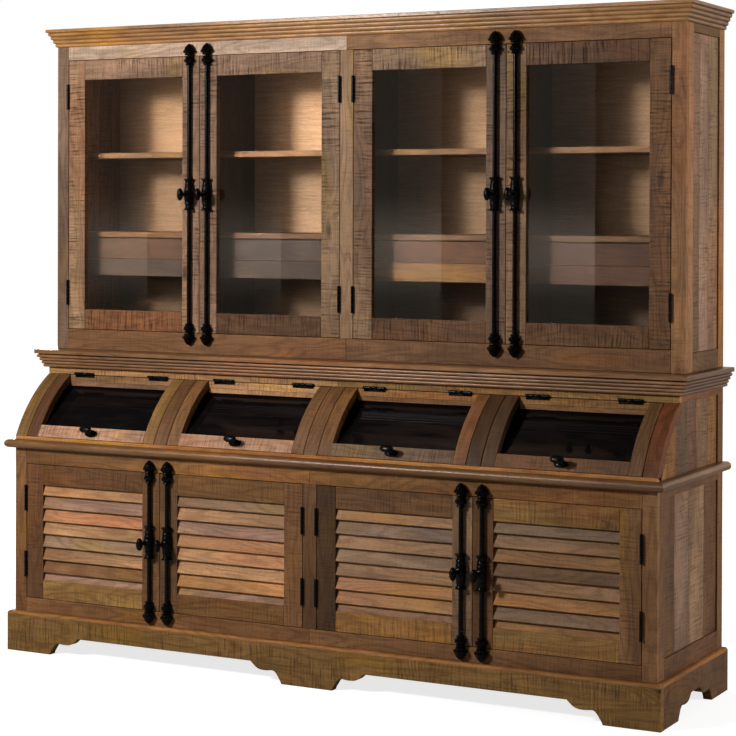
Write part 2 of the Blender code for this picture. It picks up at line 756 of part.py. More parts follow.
def build_glazed_door(assembly: Assembly, leaf: Leaf) -> None:
    """A glazed door: frame with a rebate at the back, pane, hinge knuckles and cremone bolt."""
    pivot = door_pivot(assembly, leaf)
    back = leaf.front + DOOR_THICKNESS
    x0, x1 = leaf.x0 + DOOR_STILE, leaf.x1 - DOOR_STILE
    z0, z1 = leaf.z0 + DOOR_RAIL, leaf.z1 - DOOR_RAIL
    frame = box(leaf.x0, leaf.x1, leaf.front, back, leaf.z0, leaf.z1)
    frame = cut(frame, [
        box(x0, x1, leaf.front - OVERCUT, back + OVERCUT, z0, z1),
        box(x0 - REBATE_WIDTH, x1 + REBATE_WIDTH, back - REBATE_DEPTH, back + OVERCUT,
            z0 - REBATE_WIDTH, z1 + REBATE_WIDTH),
    ])
    frame = fuse([frame, *hinge_blocks(leaf, True), *cremone_case(leaf)])
    frame = cut(frame, [spindle_hole(leaf)])
    assembly.add(frame, leaf.name, "wood", pivot.location.copy(), pivot)
    inset = REBATE_WIDTH - GAP
    pane_front = back - REBATE_DEPTH + GAP
    pane = box(x0 - inset, x1 + inset, pane_front, pane_front + GLASS_THICKNESS, z0 - inset, z1 + inset)
    assembly.add(pane, f"{leaf.name}_glass", "glass", pivot.location.copy(), pivot)
    build_bolt(assembly, leaf, pivot)


def slat(x0: float, x1: float, front: float, lower_edge: float) -> bpy.types.Object:
    """One louvre slat, its lower edge forward and its upper edge tucked behind the slat above."""
    item = box(x0, x1, 0.0, SLAT_THICKNESS, 0.0, SLAT_WIDTH)
    place = Matrix.Translation((0, front + FACE_CLEARANCE, lower_edge))
    item.data.transform(place @ Matrix.Rotation(-SLAT_TILT, 4, "X"))
    return item


def build_louvred_door(assembly: Assembly, leaf: Leaf) -> None:
    """A louvred door: frame, slats, hinge knuckles and cremone bolt."""
    pivot = door_pivot(assembly, leaf)
    back = leaf.front + DOOR_THICKNESS
    x0, x1 = leaf.x0 + DOOR_STILE, leaf.x1 - DOOR_STILE
    z0, z1 = leaf.z0 + LOUVRED_DOOR_FOOT, leaf.z1 - DOOR_RAIL
    frame = box(leaf.x0, leaf.x1, leaf.front, back, leaf.z0, leaf.z1)
    frame = cut(frame, [box(x0, x1, leaf.front - OVERCUT, back + OVERCUT, z0, z1)])
    lower_edge = z1 - TOP_SLAT_DROP
    slats = []
    while lower_edge > z0 - SLAT_PITCH / 2:
        slats.append(slat(x0 - SLAT_TENON, x1 + SLAT_TENON, leaf.front, lower_edge))
        lower_edge -= SLAT_PITCH
    frame = fuse([frame, *slats, *hinge_blocks(leaf, True), *cremone_case(leaf)])
    frame = cut(frame, [spindle_hole(leaf)])
    assembly.add(frame, leaf.name, "wood", pivot.location.copy(), pivot)
    build_bolt(assembly, leaf, pivot)


def bay_edges() -> list[tuple[float, float]]:
    """The left and right edge of the face frame's two bays."""
    return [(side * BAY_MIDDLE - BAY_WIDTH / 2, side * BAY_MIDDLE + BAY_WIDTH / 2) for side in (-1, 1)]


def door_openings(depth: float, z0: float, z1: float) -> list[bpy.types.Object]:
    """Cutters for the two bays of a face frame."""
    return [box(x0, x1, y_at(depth + OVERCUT), y_at(depth - FRAME_THICKNESS - OVERCUT), z0, z1)
            for x0, x1 in bay_edges()]


def build_base(assembly: Assembly, leaves: list[Leaf]) -> None:
    """The base carcass, its back panel and one shelf in each bay."""
    front = y_at(BASE_DEPTH)
    inner = HALF_BODY - SIDE_THICKNESS
    floor_foot = BASE_DOOR_Z0 - BOARD_THICKNESS
    body = box(-HALF_BODY, HALF_BODY, front, y_at(0), BASE_Z0, BASE_Z1)
    cutters = door_openings(BASE_DEPTH, BASE_DOOR_Z0, BASE_DOOR_Z1)
    cutters += side_recesses(BASE_DEPTH, BASE_Z0, BASE_Z1)
    cavity_front = y_at(BASE_DEPTH - FRAME_THICKNESS)
    half_board = BOARD_THICKNESS / 2
    for side in (-1, 1):
        cutters.append(box(side * half_board, side * inner, cavity_front, y_at(-OVERCUT),
                           BASE_DOOR_Z0, BASE_Z1 + OVERCUT))
    cutters.append(box(-inner, inner, y_at(-OVERCUT), y_at(BACK_THICKNESS + GAP),
                       BASE_DOOR_Z0, BASE_Z1 + OVERCUT))
    cutters.append(box(-inner, inner, cavity_front, y_at(FRAME_THICKNESS), BASE_Z0 - OVERCUT, floor_foot))
    body = cut(body, cutters)
    fittings = []
    for leaf in leaves:
        fittings += hinge_blocks(leaf, False)
        fittings += keepers(leaf, BASE_DOOR_Z0, BASE_DOOR_Z1)
    shelf_top = BASE_DOOR_Z0 + BASE_SHELF_HEIGHT
    cleat_top = shelf_top - BOARD_THICKNESS - GAP
    shelf_front = y_at(BASE_DEPTH - FRAME_THICKNESS - BASE_SHELF_SETBACK)
    shelf_back = y_at(BACK_THICKNESS + GAP)
    for side in (-1, 1):
        for wall, inward in ((side * inner, -side), (side * half_board, side)):
            fittings.append(box(wall - inward * OVERCUT, wall + inward * CLEAT_SIZE, shelf_front, shelf_back,
                                cleat_top - CLEAT_SIZE, cleat_top))
        shelf = box(side * (half_board + GAP), side * (inner - GAP), shelf_front, shelf_back,
                    shelf_top - BOARD_THICKNESS, shelf_top)
        assembly.add(shelf, "base_shelf_left" if side < 0 else "base_shelf_right", "wood")
    assembly.add(fuse([body, *fittings]), "base_case", "wood")
    back = box(-inner + GAP, inner - GAP, y_at(0), y_at(BACK_THICKNESS), BASE_DOOR_Z0 + GAP, BASE_Z1 - GAP)
    assembly.add(back, "base_back", "wood")


def build_ledge(assembly: Assembly) -> None:
    """The counter ledge with its half-round nose."""
    assembly.add(moulded_slab(ledge_profile(), BASE_DEPTH), "counter_ledge", "wood")


@dataclass(frozen=True)
class Arc:
    """The round sweep of the roll-top front, from the sill up to the head rail, in (depth, height)."""

    centre_depth: float
    centre_z: float

    @classmethod
    def through(cls) -> "Arc":
        """Finds the arc of CURVE_RADIUS that joins the sill's front to the head rail's front."""
        low = Vector((BASE_DEPTH, FLAP_Z0))
        high = Vector((BIN_TOP_DEPTH, FLAP_Z1))
        chord = high - low
        middle = (low + high) / 2
        rise = math.sqrt(CURVE_RADIUS ** 2 - (chord.length / 2) ** 2)
        inward = Vector((-chord.y, chord.x)).normalized()
        centre = middle + inward * rise
        return cls(centre.x, centre.y)

    def point(self, angle: float, inset: float = 0.0) -> tuple[float, float]:
        """A point on the arc, or on a smaller arc inset from it."""
        radius = CURVE_RADIUS - inset
        return (self.centre_depth + radius * math.cos(angle), self.centre_z + radius * math.sin(angle))

    def angle_at_height(self, height: float, inset: float = 0.0) -> float:
        """The angle at which an arc reaches a height."""
        return math.asin((height - self.centre_z) / (CURVE_RADIUS - inset))

    def angle_at_depth(self, depth: float, inset: float = 0.0) -> float:
        """The angle at which an arc reaches a depth."""
        return math.acos((depth - self.centre_depth) / (CURVE_RADIUS - inset))

    def run(self, start: float, end: float, inset: float = 0.0) -> list[tuple[float, float]]:
        """Points along an arc between two angles."""
        sweep = end - start
        return [self.point(start + sweep * step / CURVE_STEPS, inset) for step in range(CURVE_STEPS + 1)]

    def band(self, start: float, end: float, outer: float, inner: float) -> list[tuple[float, float]]:
        """The outline of a curved board between two angles and two insets, cut square to the curve."""
        return self.run(start, end, outer) + list(reversed(self.run(start, end, inner)))


ARC = Arc.through()
ARC_LOW = ARC.angle_at_height(FLAP_Z0)
ARC_HIGH = ARC.angle_at_height(FLAP_Z1)


def flap_edges() -> list[tuple[float, float]]:
    """The left and right edge of the four openings between the curved ribs."""
    inner = MULLION_WIDTH / 2
    outer = HALF_BODY - STILE_WIDTH
    edges = []
    for side in (-1, 1):
        spans = [(side * inner, side * (BAY_MIDDLE - inner)), (side * (BAY_MIDDLE + inner), side * outer)]
        edges += [(min(span), max(span)) for span in spans]
    return sorted(edges)


def flap_axis() -> tuple[float, float]:
    """Depth and height of the flaps' hinge axis, clear of the head rail's face and of the curve."""
    normal_depth = math.cos(ARC_HIGH)
    normal_z = math.sin(ARC_HIGH)
    lift = HINGE_OFFSET * (1 - normal_depth) / normal_z
    return (BIN_TOP_DEPTH + HINGE_OFFSET, FLAP_Z1 + lift)


def flap_hinge_starts(x0: float, x1: float) -> tuple[float, float]:
    """Left end of each of a flap's two hinges."""
    return (x0 + FLAP_HINGE_INSET, x1 - FLAP_HINGE_INSET - FLAP_HINGE_LENGTH)


def flap_hinge_blocks(x0: float, x1: float, on_flap: bool) -> list[bpy.types.Object]:
    """The knuckles of a flap's hinges that turn with the flap, or those that stay on the head rail."""
    axis = Vector(flap_axis())
    knuckle = (FLAP_HINGE_LENGTH - 2 * KNUCKLE_GAP) / 3
    if on_flap:
        inward = -Vector((math.cos(ARC_HIGH), math.sin(ARC_HIGH))) * (HINGE_OFFSET + OVERCUT)
        along = Vector((math.sin(ARC_HIGH), -math.cos(ARC_HIGH))) * LEAF_THICKNESS
    else:
        inward = Vector((-HINGE_OFFSET - OVERCUT, 0.0))
        along = Vector((0.0, LEAF_THICKNESS))
    pad = [tuple(point) for point in (axis, axis + along, axis + along + inward, axis + inward)]
    pieces = []
    for start in flap_hinge_starts(x0, x1):
        for place in ((1,) if on_flap else (0, 2)):
            left = start + place * (knuckle + KNUCKLE_GAP)
            right = left + knuckle
            ends = [(x, y_at(axis.x), axis.y) for x in (left, right)]
            pieces.append(rod(*ends, HINGE_RADIUS, HINGE_SIDES))
            pieces.append(outline_x(pad, left, right))
    return pieces


def flap_knob(x: float) -> bpy.types.Object:
    """The turned knob on a flap's bottom rail, square to the curve."""
    angle = ARC_LOW + (DOOR_GAP + FLAP_BOTTOM_RAIL / 2) / CURVE_RADIUS
    depth, height = ARC.point(angle, OVERCUT)
    length = FLAP_KNOB_LENGTH + OVERCUT
    neck = length - FLAP_KNOB_HEAD
    profile = [
        (0.0, length), (FLAP_KNOB_FACE_RADIUS, length - FLAP_KNOB_CROWN),
        (FLAP_KNOB_RADIUS, length - FLAP_KNOB_HEAD / 2), (FLAP_KNOB_STEM_RADIUS, neck),
        (FLAP_KNOB_STEM_RADIUS, FLAP_KNOB_FOOT + OVERCUT), (FLAP_KNOB_FOOT_RADIUS, OVERCUT),
        (FLAP_KNOB_FOOT_RADIUS, 0.0), (0.0, 0.0),
    ]
    outward = Vector((0, -math.cos(angle), math.sin(angle)))
    return turned(profile, Vector((x, y_at(depth), height)), outward, False)


def build_flap(assembly: Assembly, name: str, opening: tuple[float, float]) -> None:
    """One curved lift-up flap with its bent pane and knob, on a hinge along its top edge."""
    x0, x1 = opening[0] + DOOR_GAP, opening[1] - DOOR_GAP
    depth, height = flap_axis()
    pivot = assembly.pivot(f"{name}_hinge", Vector(((x0 + x1) / 2, y_at(depth), height)))
    foot_z = FLAP_Z0 + DOOR_GAP
    top = ARC_HIGH - DOOR_GAP / CURVE_RADIUS
    outline = ARC.run(ARC.angle_at_height(foot_z), top)
    outline += list(reversed(ARC.run(ARC.angle_at_height(foot_z, FLAP_THICKNESS), top, FLAP_THICKNESS)))
    frame = outline_x(outline, x0, x1)
    window_low = ARC_LOW + (DOOR_GAP + FLAP_BOTTOM_RAIL) / CURVE_RADIUS
    window_high = top - FLAP_TOP_RAIL / CURVE_RADIUS
    rebate = REBATE_WIDTH / CURVE_RADIUS
    shoulder = FLAP_THICKNESS - FLAP_REBATE_DEPTH
    frame = cut(frame, [
        outline_x(ARC.band(window_low, window_high, -OVERCUT, FLAP_THICKNESS + OVERCUT),
                  x0 + FLAP_STILE, x1 - FLAP_STILE),
        outline_x(ARC.band(window_low - rebate, window_high + rebate, shoulder, FLAP_THICKNESS + OVERCUT),
                  x0 + FLAP_STILE - REBATE_WIDTH, x1 - FLAP_STILE + REBATE_WIDTH),
    ])
    frame = fuse([frame, *flap_hinge_blocks(opening[0], opening[1], True), flap_knob((x0 + x1) / 2)])
    assembly.add(frame, name, "wood", pivot.location.copy(), pivot)
    seat = GAP / CURVE_RADIUS
    pane = outline_x(
        ARC.band(window_low - rebate + seat, window_high + rebate - seat, shoulder + GAP,
                 shoulder + GAP + GLASS_THICKNESS),
        x0 + FLAP_STILE - REBATE_WIDTH + GAP, x1 - FLAP_STILE + REBATE_WIDTH - GAP,
    )
    assembly.add(pane, f"{name}_glass", "dark_glass", pivot.location.copy(), pivot)


def build_bins(assembly: Assembly) -> list[tuple[float, float]]:
    """The roll-top section's fixed part: curved ends and ribs, head rail, sill, dividers and back."""
    outline = [(0.0, BIN_Z0), (BASE_DEPTH, BIN_Z0), *ARC.run(ARC_LOW, ARC_HIGH), (BIN_TOP_DEPTH, BIN_Z1),
               (0.0, BIN_Z1)]
    body = outline_x(outline, -HALF_BODY, HALF_BODY)
    cavity_front = BASE_DEPTH - RIB_THICKNESS
    head_back = BIN_TOP_DEPTH - FRAME_THICKNESS
    inner_low = ARC.angle_at_depth(cavity_front, RIB_THICKNESS)
    inner_high = ARC.angle_at_depth(head_back, RIB_THICKNESS)
    cavity = [(BACK_THICKNESS, BIN_Z0 - OVERCUT), (cavity_front, BIN_Z0 - OVERCUT),
              *ARC.run(inner_low, inner_high, RIB_THICKNESS), (head_back, BIN_Z1 + OVERCUT),
              (BACK_THICKNESS, BIN_Z1 + OVERCUT)]
    inner = HALF_BODY - SIDE_THICKNESS
    half_board = BOARD_THICKNESS / 2
    cutters = [outline_x(cavity, -inner, -half_board), outline_x(cavity, half_board, inner)]
    through = RIB_THICKNESS + OVERCUT
    opening = [(BASE_DEPTH + OVERCUT, FLAP_Z0), (BASE_DEPTH + OVERCUT, FLAP_Z1),
               (head_back - OVERCUT, FLAP_Z1),
               *reversed(ARC.run(ARC.angle_at_height(FLAP_Z0, through), inner_high, through))]
    edges = flap_edges()
    for x0, x1 in edges:
        cutters.append(outline_x(opening, x0, x1))
    body = cut(body, cutters)
    knuckles = []
    for x0, x1 in edges:
        knuckles += flap_hinge_blocks(x0, x1, False)
    assembly.add(fuse([body, *knuckles]), "rolltop_case", "wood")
    return edges


def build_hutch(assembly: Assembly, leaves: list[Leaf]) -> None:
    """The hutch carcass with its keepers, fixed knuckles and the outer runners of the inner drawers."""
    front = y_at(HUTCH_DEPTH)
    inner = HALF_BODY - SIDE_THICKNESS
    ceiling = HUTCH_Z1 - BOARD_THICKNESS
    floor_foot = HUTCH_DOOR_Z0 - BOARD_THICKNESS
    cavity_front = y_at(HUTCH_DEPTH - FRAME_THICKNESS)
    body = box(-HALF_BODY, HALF_BODY, front, y_at(0), HUTCH_Z0, HUTCH_Z1)
    cutters = door_openings(HUTCH_DEPTH, HUTCH_DOOR_Z0, HUTCH_DOOR_Z1)
    cutters += side_recesses(HUTCH_DEPTH, HUTCH_Z0, HUTCH_Z1)
    cutters.append(box(-inner, inner, cavity_front, y_at(-OVERCUT), HUTCH_DOOR_Z0, ceiling))
    cutters.append(box(-inner, inner, cavity_front, y_at(FRAME_THICKNESS), HUTCH_Z0 - OVERCUT, floor_foot))
    body = cut(body, cutters)
    fittings = []
    for leaf in leaves:
        fittings += hinge_blocks(leaf, False)
        fittings += keepers(leaf, HUTCH_DOOR_Z0, HUTCH_DOOR_Z1)
    top = runner_top()
    runner_edge = BAY_MIDDLE + BAY_WIDTH / 2 - DRAWER_SIDE_GAP - RUNNER_WIDTH
    for side in (-1, 1):
        fittings.append(box(side * (inner + OVERCUT), side * runner_edge, runner_front(),
                            y_at(BACK_THICKNESS + GAP), top - RUNNER_HEIGHT, top))
    assembly.add(fuse([body, *fittings]), "hutch_case", "wood")
    back = box(-inner + GAP, inner - GAP, y_at(0), y_at(BACK_THICKNESS), HUTCH_DOOR_Z0 + GAP, ceiling - GAP)
    assembly.add(back, "hutch_back", "pale")


def drawer_spans() -> list[tuple[float, float]]:
    """The left and right side of the four inner drawers, each free of its door opening and partition."""
    wall = BOARD_THICKNESS / 2 + DRAWER_SIDE_GAP
    jamb = BAY_WIDTH / 2 - DRAWER_SIDE_GAP
    spans = []
    for side in (-1, 1):
        middle = side * BAY_MIDDLE
        spans += [(middle - jamb, middle - wall), (middle + wall, middle + jamb)]
    return spans


def drawer_bottom_z() -> float:
    """Underside of an inner drawer's front."""
    return HUTCH_DOOR_Z0 + LOWER_SHELF_HEIGHT - DRAWER_TOP_GAP - DRAWER_FRONT_HEIGHT


def runner_top() -> float:
    """Top of the runners, just under the drawers' sides."""
    return drawer_bottom_z() + DRAWER_LIFT - GAP


def shelf_front_depth() -> float:
    """Depth of the shelf edges and of the drawer fronts, measured from the back plane."""
    return HUTCH_DEPTH - FRAME_THICKNESS - SHELF_SETBACK


def runner_front() -> float:
    """Y of the runners' front ends, behind the drawer fronts."""
    return y_at(shelf_front_depth() - DRAWER_FRONT_THICKNESS - GAP)


def build_dividers(assembly: Assembly) -> None:
    """The hutch's inside: three partitions, two shelf levels and the inner runners, as one crossed grid."""
    inner = HALF_BODY - SIDE_THICKNESS - GAP
    back = y_at(BACK_THICKNESS + GAP)
    partition_front = y_at(HUTCH_DEPTH - FRAME_THICKNESS - SEAT_CLEARANCE)
    ceiling = HUTCH_Z1 - BOARD_THICKNESS - GAP
    pieces = []
    for x in (-BAY_MIDDLE, 0.0, BAY_MIDDLE):
        pieces.append(box(x - BOARD_THICKNESS / 2, x + BOARD_THICKNESS / 2, partition_front, back,
                          HUTCH_DOOR_Z0 + GAP, ceiling))
    for height in (LOWER_SHELF_HEIGHT, UPPER_SHELF_HEIGHT):
        foot = HUTCH_DOOR_Z0 + height
        pieces.append(box(-inner, inner, y_at(shelf_front_depth()), back, foot, foot + SHELF_THICKNESS))
    top = runner_top()
    half_board = BOARD_THICKNESS / 2
    for x, reach in ((-BAY_MIDDLE, half_board), (BAY_MIDDLE, half_board), (0.0, MULLION_WIDTH / 2)):
        half = reach + DRAWER_SIDE_GAP + RUNNER_WIDTH
        pieces.append(box(x - half, x + half, runner_front(), back, top - RUNNER_HEIGHT, top))
    assembly.add(fuse(pieces), "hutch_dividers", "wood")


def build_drawer(assembly: Assembly, name: str, x0: float, x1: float) -> None:
    """One plain inner drawer: a front, two sides, a back and a bottom, open at the top."""
    z0 = drawer_bottom_z()
    front = y_at(shelf_front_depth())
    face_back = front + DRAWER_FRONT_THICKNESS
    end = y_at(BACK_THICKNESS + DRAWER_BACK_GAP)
    side_top = z0 + DRAWER_FRONT_HEIGHT - DRAWER_SIDE_DROP
    floor = z0 + DRAWER_LIFT
    tray = box(x0, x1, face_back - OVERCUT, end, floor, side_top)
    well = box(x0 + DRAWER_SIDE_THICKNESS, x1 - DRAWER_SIDE_THICKNESS, face_back, end - DRAWER_SIDE_THICKNESS,
               floor + DRAWER_BOTTOM_THICKNESS, side_top + OVERCUT)
    tray = cut(tray, [well])
    face = box(x0, x1, front, face_back, z0, z0 + DRAWER_FRONT_HEIGHT)
    assembly.add(fuse([face, tray]), name, "wood", Vector(((x0 + x1) / 2, front, z0)))


def build_mouldings(assembly: Assembly) -> None:
    """The waist moulding under the hutch and the crown moulding on top of it."""
    waist = moulded_slab(waist_profile(), BIN_TOP_DEPTH)
    assembly.add(hollow_below(waist, BIN_TOP_DEPTH, WAIST_Z0, WAIST_Z1), "waist_moulding", "wood")
    crown = moulded_slab(crown_profile(), HUTCH_DEPTH)
    assembly.add(hollow_below(crown, HUTCH_DEPTH, CROWN_Z0, CROWN_Z1), "crown_moulding", "wood")


def main() -> None:
    """Builds the cabinet from the floor up."""
    clear_scene()
    assembly = Assembly("buffet_cabinet")
    base_doors = door_leaves("base_door", BASE_DEPTH, (BASE_DOOR_Z0, BASE_DOOR_Z1), BASE_HINGE_INSET)
    hutch_doors = door_leaves("hutch_door", HUTCH_DEPTH, (HUTCH_DOOR_Z0, HUTCH_DOOR_Z1), HUTCH_HINGE_INSET)
    build_plinth(assembly)
    build_base(assembly, base_doors)
    build_ledge(assembly)
    for number, opening in enumerate(build_bins(assembly), start=1):
        build_flap(assembly, f"flap_{number}", opening)
    build_mouldings(assembly)
    build_hutch(assembly, hutch_doors)
    build_dividers(assembly)
    for number, span in enumerate(drawer_spans(), start=1):
        build_drawer(assembly, f"inner_drawer_{number}", *span)
    for leaf in base_doors:
        build_louvred_door(assembly, leaf)
    for leaf in hutch_doors:
        build_glazed_door(assembly, leaf)


if __name__ == "__main__":
    main()
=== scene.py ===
"""Looks of the buffet cabinet: stained mango boards, reeded mouldings, louvres, glazing and black iron bolts.

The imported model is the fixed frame. Every board, moulding and casting here is a surface worked out with
numpy in the frame's own coordinates: the front faces -Y, the width runs along X and the floor is Z = 0.
Depths are measured from the back plane towards the front. Each sub-assembly is a class that holds its
sizes, builds its pieces and lets them ride on the body that carries them.
"""

from __future__ import annotations

import logging
import math
from collections.abc import Sequence
from dataclasses import dataclass, field
from enum import Enum

import bpy
import numpy as np
from mathutils import Matrix, Vector


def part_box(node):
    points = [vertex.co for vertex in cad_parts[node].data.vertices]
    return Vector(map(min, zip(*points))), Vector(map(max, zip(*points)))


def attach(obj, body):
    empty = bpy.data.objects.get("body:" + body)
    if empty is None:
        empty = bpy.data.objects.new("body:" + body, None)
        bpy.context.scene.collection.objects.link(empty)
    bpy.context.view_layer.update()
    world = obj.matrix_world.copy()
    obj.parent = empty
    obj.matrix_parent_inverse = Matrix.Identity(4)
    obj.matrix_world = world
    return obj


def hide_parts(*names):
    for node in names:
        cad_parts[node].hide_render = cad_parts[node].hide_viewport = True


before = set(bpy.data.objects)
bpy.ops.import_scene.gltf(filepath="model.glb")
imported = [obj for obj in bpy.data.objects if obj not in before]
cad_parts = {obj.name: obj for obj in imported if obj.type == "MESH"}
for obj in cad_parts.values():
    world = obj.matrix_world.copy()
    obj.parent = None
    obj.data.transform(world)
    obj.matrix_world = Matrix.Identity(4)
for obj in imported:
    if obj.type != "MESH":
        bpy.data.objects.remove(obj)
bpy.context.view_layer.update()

LOG = logging.getLogger("buffet_cabinet")
IMAGE_SIZE = 736
RANDOM_SEED = 20

Array = np.ndarray
Span = tuple[float, float]
Triple = tuple[float, float, float]
Faces = list[list[int]]
Socket = bpy.types.NodeSocket
X, Y, Z = 0, 1, 2
UNIT = np.eye(3)
WHITE = (1.0, 1.0, 1.0, 1.0)

# Clearance between pieces, seam between boards, and the chamfer of a board and of a thin sheet, in metres.
GAP, SEAM, EASED, THIN_EASED = 0.0003, 0.0004, 0.0012, 0.0006
# The widest chamfer, as a share of half a board's thickness.
MOST_EASED = 0.45
# A half size far past any board, for surfaces whose edges don't wear.
NO_EDGE = 10.0
# How rough the usual saw marks are, from 0 to 1.
PLANED, FINE_SAWN, SAWN, ROUGH_SAWN = 0.2, 0.3, 0.4, 0.55
# How far boards of one stain differ: in brightness, in hue for each channel, at most, and in their seeds.
TONE_SPREAD, HUE_SPREAD, TONE_LIMITS = 0.03, np.array([0.02, 0.0, -0.03]), (0.85, 1.15)
SEED_RANGE, SEED_STRIDE = 40.0, (3.1, 1.7, 5.3)


class Tone(Enum):
    """The stains that the boards come in, as 8-bit colours."""

    HONEY = (156, 110, 62)
    GOLD = (128, 88, 46)
    OLIVE = (118, 87, 46)
    TAN = (152, 112, 74)
    PEACH = (162, 112, 74)
    ROSE = (140, 106, 84)
    CHESTNUT = (106, 73, 44)
    REDDISH = (108, 66, 38)
    WALNUT = (88, 60, 36)
    UMBER = (70, 50, 33)
    MAUVE = (110, 84, 65)
    SMOKE = (122, 94, 68)
    BLUSH = (172, 147, 124)
    PLY = (196, 152, 112)

    def at(self, shade: float) -> Array:
        """This stain in linear light, paler or darker by a factor."""
        return linear(self.value) * shade


Stain = Tone | Array


class Slot(Enum):
    """The record's material slots."""

    WOOD = "mango_wood"
    PLYWOOD = "pale_plywood"
    IRON = "black_iron"
    GLASS = "clear_glass"
    DARK_GLASS = "dark_glass"


def linear(colour: tuple[int, int, int]) -> Array:
    """Turns an 8-bit sRGB colour into linear light, by the sRGB curve."""
    share = np.array(colour, float) / 255.0
    return np.where(share <= 0.04045, share / 12.92, ((share + 0.055) / 1.055) ** 2.4)


@dataclass(frozen=True)
class Carcass:
    """Widths, depths and heights that the sub-assemblies share."""

    width: float = 2.390
    base_depth: float = 0.607
    bin_depth: float = 0.414
    hutch_depth: float = 0.365
    base_bottom_rail: float = 0.0475
    base_opening: float = 0.472
    sill: float = 0.012
    flap_opening: float = 0.2075
    hutch_bottom_rail: float = 0.0715
    hutch_opening: float = 0.9695
    stile: float = 0.048
    mullion: float = 0.050
    face: float = 0.022
    side: float = 0.022
    board: float = 0.018
    back: float = 0.006
    recess: float = 0.006
    door_gap: float = 0.002

    @property
    def half(self) -> float:
        """Half the carcass width."""
        return self.width / 2

    @property
    def inner(self) -> float:
        """X of the sides' inner faces."""
        return self.half - self.side

    @property
    def bay_width(self) -> float:
        """Width of a door opening."""
        return (self.width - self.mullion) / 2 - self.stile

    @property
    def bay_middle(self) -> float:
        """X of a bay's middle."""
        return (self.mullion + self.bay_width) / 2

    @property
    def back_y(self) -> float:
        """Y of the back plane."""
        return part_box("plinth")[1].y

    def y_at(self, depth: float) -> float:
        """Turns a depth into a Y coordinate."""
        return self.back_y - depth

    def y_span(self, near: float, far: float) -> Span:
        """Turns two depths into Y coordinates."""
        return (self.y_at(near), self.y_at(far))

    def levels(self, node: str) -> Span:
        """Foot and top of a node."""
        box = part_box(node)
        return (box[0].z, box[1].z)


@dataclass
class Shell:
    """A closed surface and the board coordinates that its finish reads.

    place is (along the grain, across it, through it) in metres, half the board's half sizes in the same
    order, and worn how much each point is lightened, from 0 to 1: rubbed wear, and on some
    mouldings a painted highlight; below 0 it is painted shade in a groove.
    """

    points: Array
    faces: Faces
    place: Array
    half: Array
    worn: Array


def facing_out(points: Array, faces: Faces) -> Faces:
    """Turns the faces of a closed surface outwards.

    The surface's signed volume is the sum of the tetrahedra between the origin and each face's fan of
    triangles; where it is negative, every face is read backwards.

    Args:
        points: The surface's points.
        faces: Its faces, all wound the same way.

    Returns:
        The faces, wound so that they point outwards.
    """
    fans = [(face[0], face[i], face[i + 1]) for face in faces for i in range(1, len(face) - 1)]
    corners = (points - points.mean(0))[np.array(fans)]
    volume = np.einsum("ij,ij->i", corners[:, 0], np.cross(corners[:, 1], corners[:, 2])).sum()
    return faces if volume > 0 else [face[::-1] for face in faces]


def box_template() -> tuple[Array, Array, Faces]:
    """Works out the 24 corners and 26 faces of a box with chamfered edges.

    Each corner of the box gives three points, one on each face that meets there. The point on face a keeps
    its full height along a and is drawn in by the chamfer along the other two axes.

    Returns:
        The signs of each point, the axes along which the chamfer draws it in, and the faces.
    """
    corners = np.array([(i, j, k) for i in (-1, 1) for j in (-1, 1) for k in (-1, 1)], float)
    signs = np.repeat(corners, 3, axis=0)
    drawn = np.tile(1.0 - UNIT, (8, 1))
    index = {tuple(corner): number * 3 for number, corner in enumerate(corners)}
    faces = []
    for axis in range(3):
        others = [a for a in range(3) if a != axis]
        for sign in (-1, 1):
            ring = []
            for pair in ((-1, -1), (1, -1), (1, 1), (-1, 1)):
                corner = np.zeros(3)
                corner[axis] = sign
                corner[others] = pair
                ring.append(index[tuple(corner)] + axis)
            faces.append(ring)
        for first in (-1, 1):
            for second in (-1, 1):
                low, high = np.zeros(3), np.zeros(3)
                low[axis], high[axis] = -1, 1
                low[others], high[others] = (first, second), (first, second)
                a, b = index[tuple(low)], index[tuple(high)]
                faces.append([a + others[0], a + others[1], b + others[1], b + others[0]])
    faces += [[number, number + 1, number + 2] for number in range(0, 24, 3)]
    chamfer = 0.2
    sample = signs * (1.0 - chamfer * drawn)
    fixed = []
    for face in faces:
        a, b, c = sample[face[:3]]
        outwards = np.cross(b - a, c - a) @ sample[face].mean(0) > 0
        fixed.append(face if outwards else face[::-1])
    return signs, drawn, fixed


BOX_SIGNS, BOX_DRAWN, BOX_FACES = box_template()


def placed_board(centre: Array, half: Array, axes: Array, eased: float = EASED) -> Shell:
    """Makes one board with eased edges.

    point = centre + axes * (sign * (half - chamfer where drawn in)).

    Args:
        centre: The board's middle.
        half: Half its length, width and thickness.
        axes: Rows that point along, across and through the board.
        eased: Width of the chamfer on its edges.

    Returns:
        The board.
    """
    local = BOX_SIGNS * (np.array(half) - min(eased, MOST_EASED * min(half)) * BOX_DRAWN)
    points = np.array(centre) + local @ np.array(axes)
    count = len(points)
    return Shell(points, BOX_FACES, local, np.tile(half, (count, 1)), np.zeros(count))


def board(x: Span, y: Span, z: Span, grain: int, eased: float = EASED) -> Shell:
    """Makes a board between two corners.

    Args:
        x: Its left and right ends.
        y: Its front and back.
        z: Its foot and top.
        grain: The axis that its grain follows.
        eased: Width of the chamfer on its edges.

    Returns:
        The board.
    """
    low, high = np.array([min(x), min(y), min(z)]), np.array([max(x), max(y), max(z)])
    size = high - low
    rest = sorted((a for a in range(3) if a != grain), key=lambda a: -size[a])
    order = [grain, *rest]
    axes = UNIT[order].copy()
    if np.linalg.det(axes) < 0:
        axes[2] *= -1
    return placed_board((low + high) / 2, size[order] / 2, axes, eased)


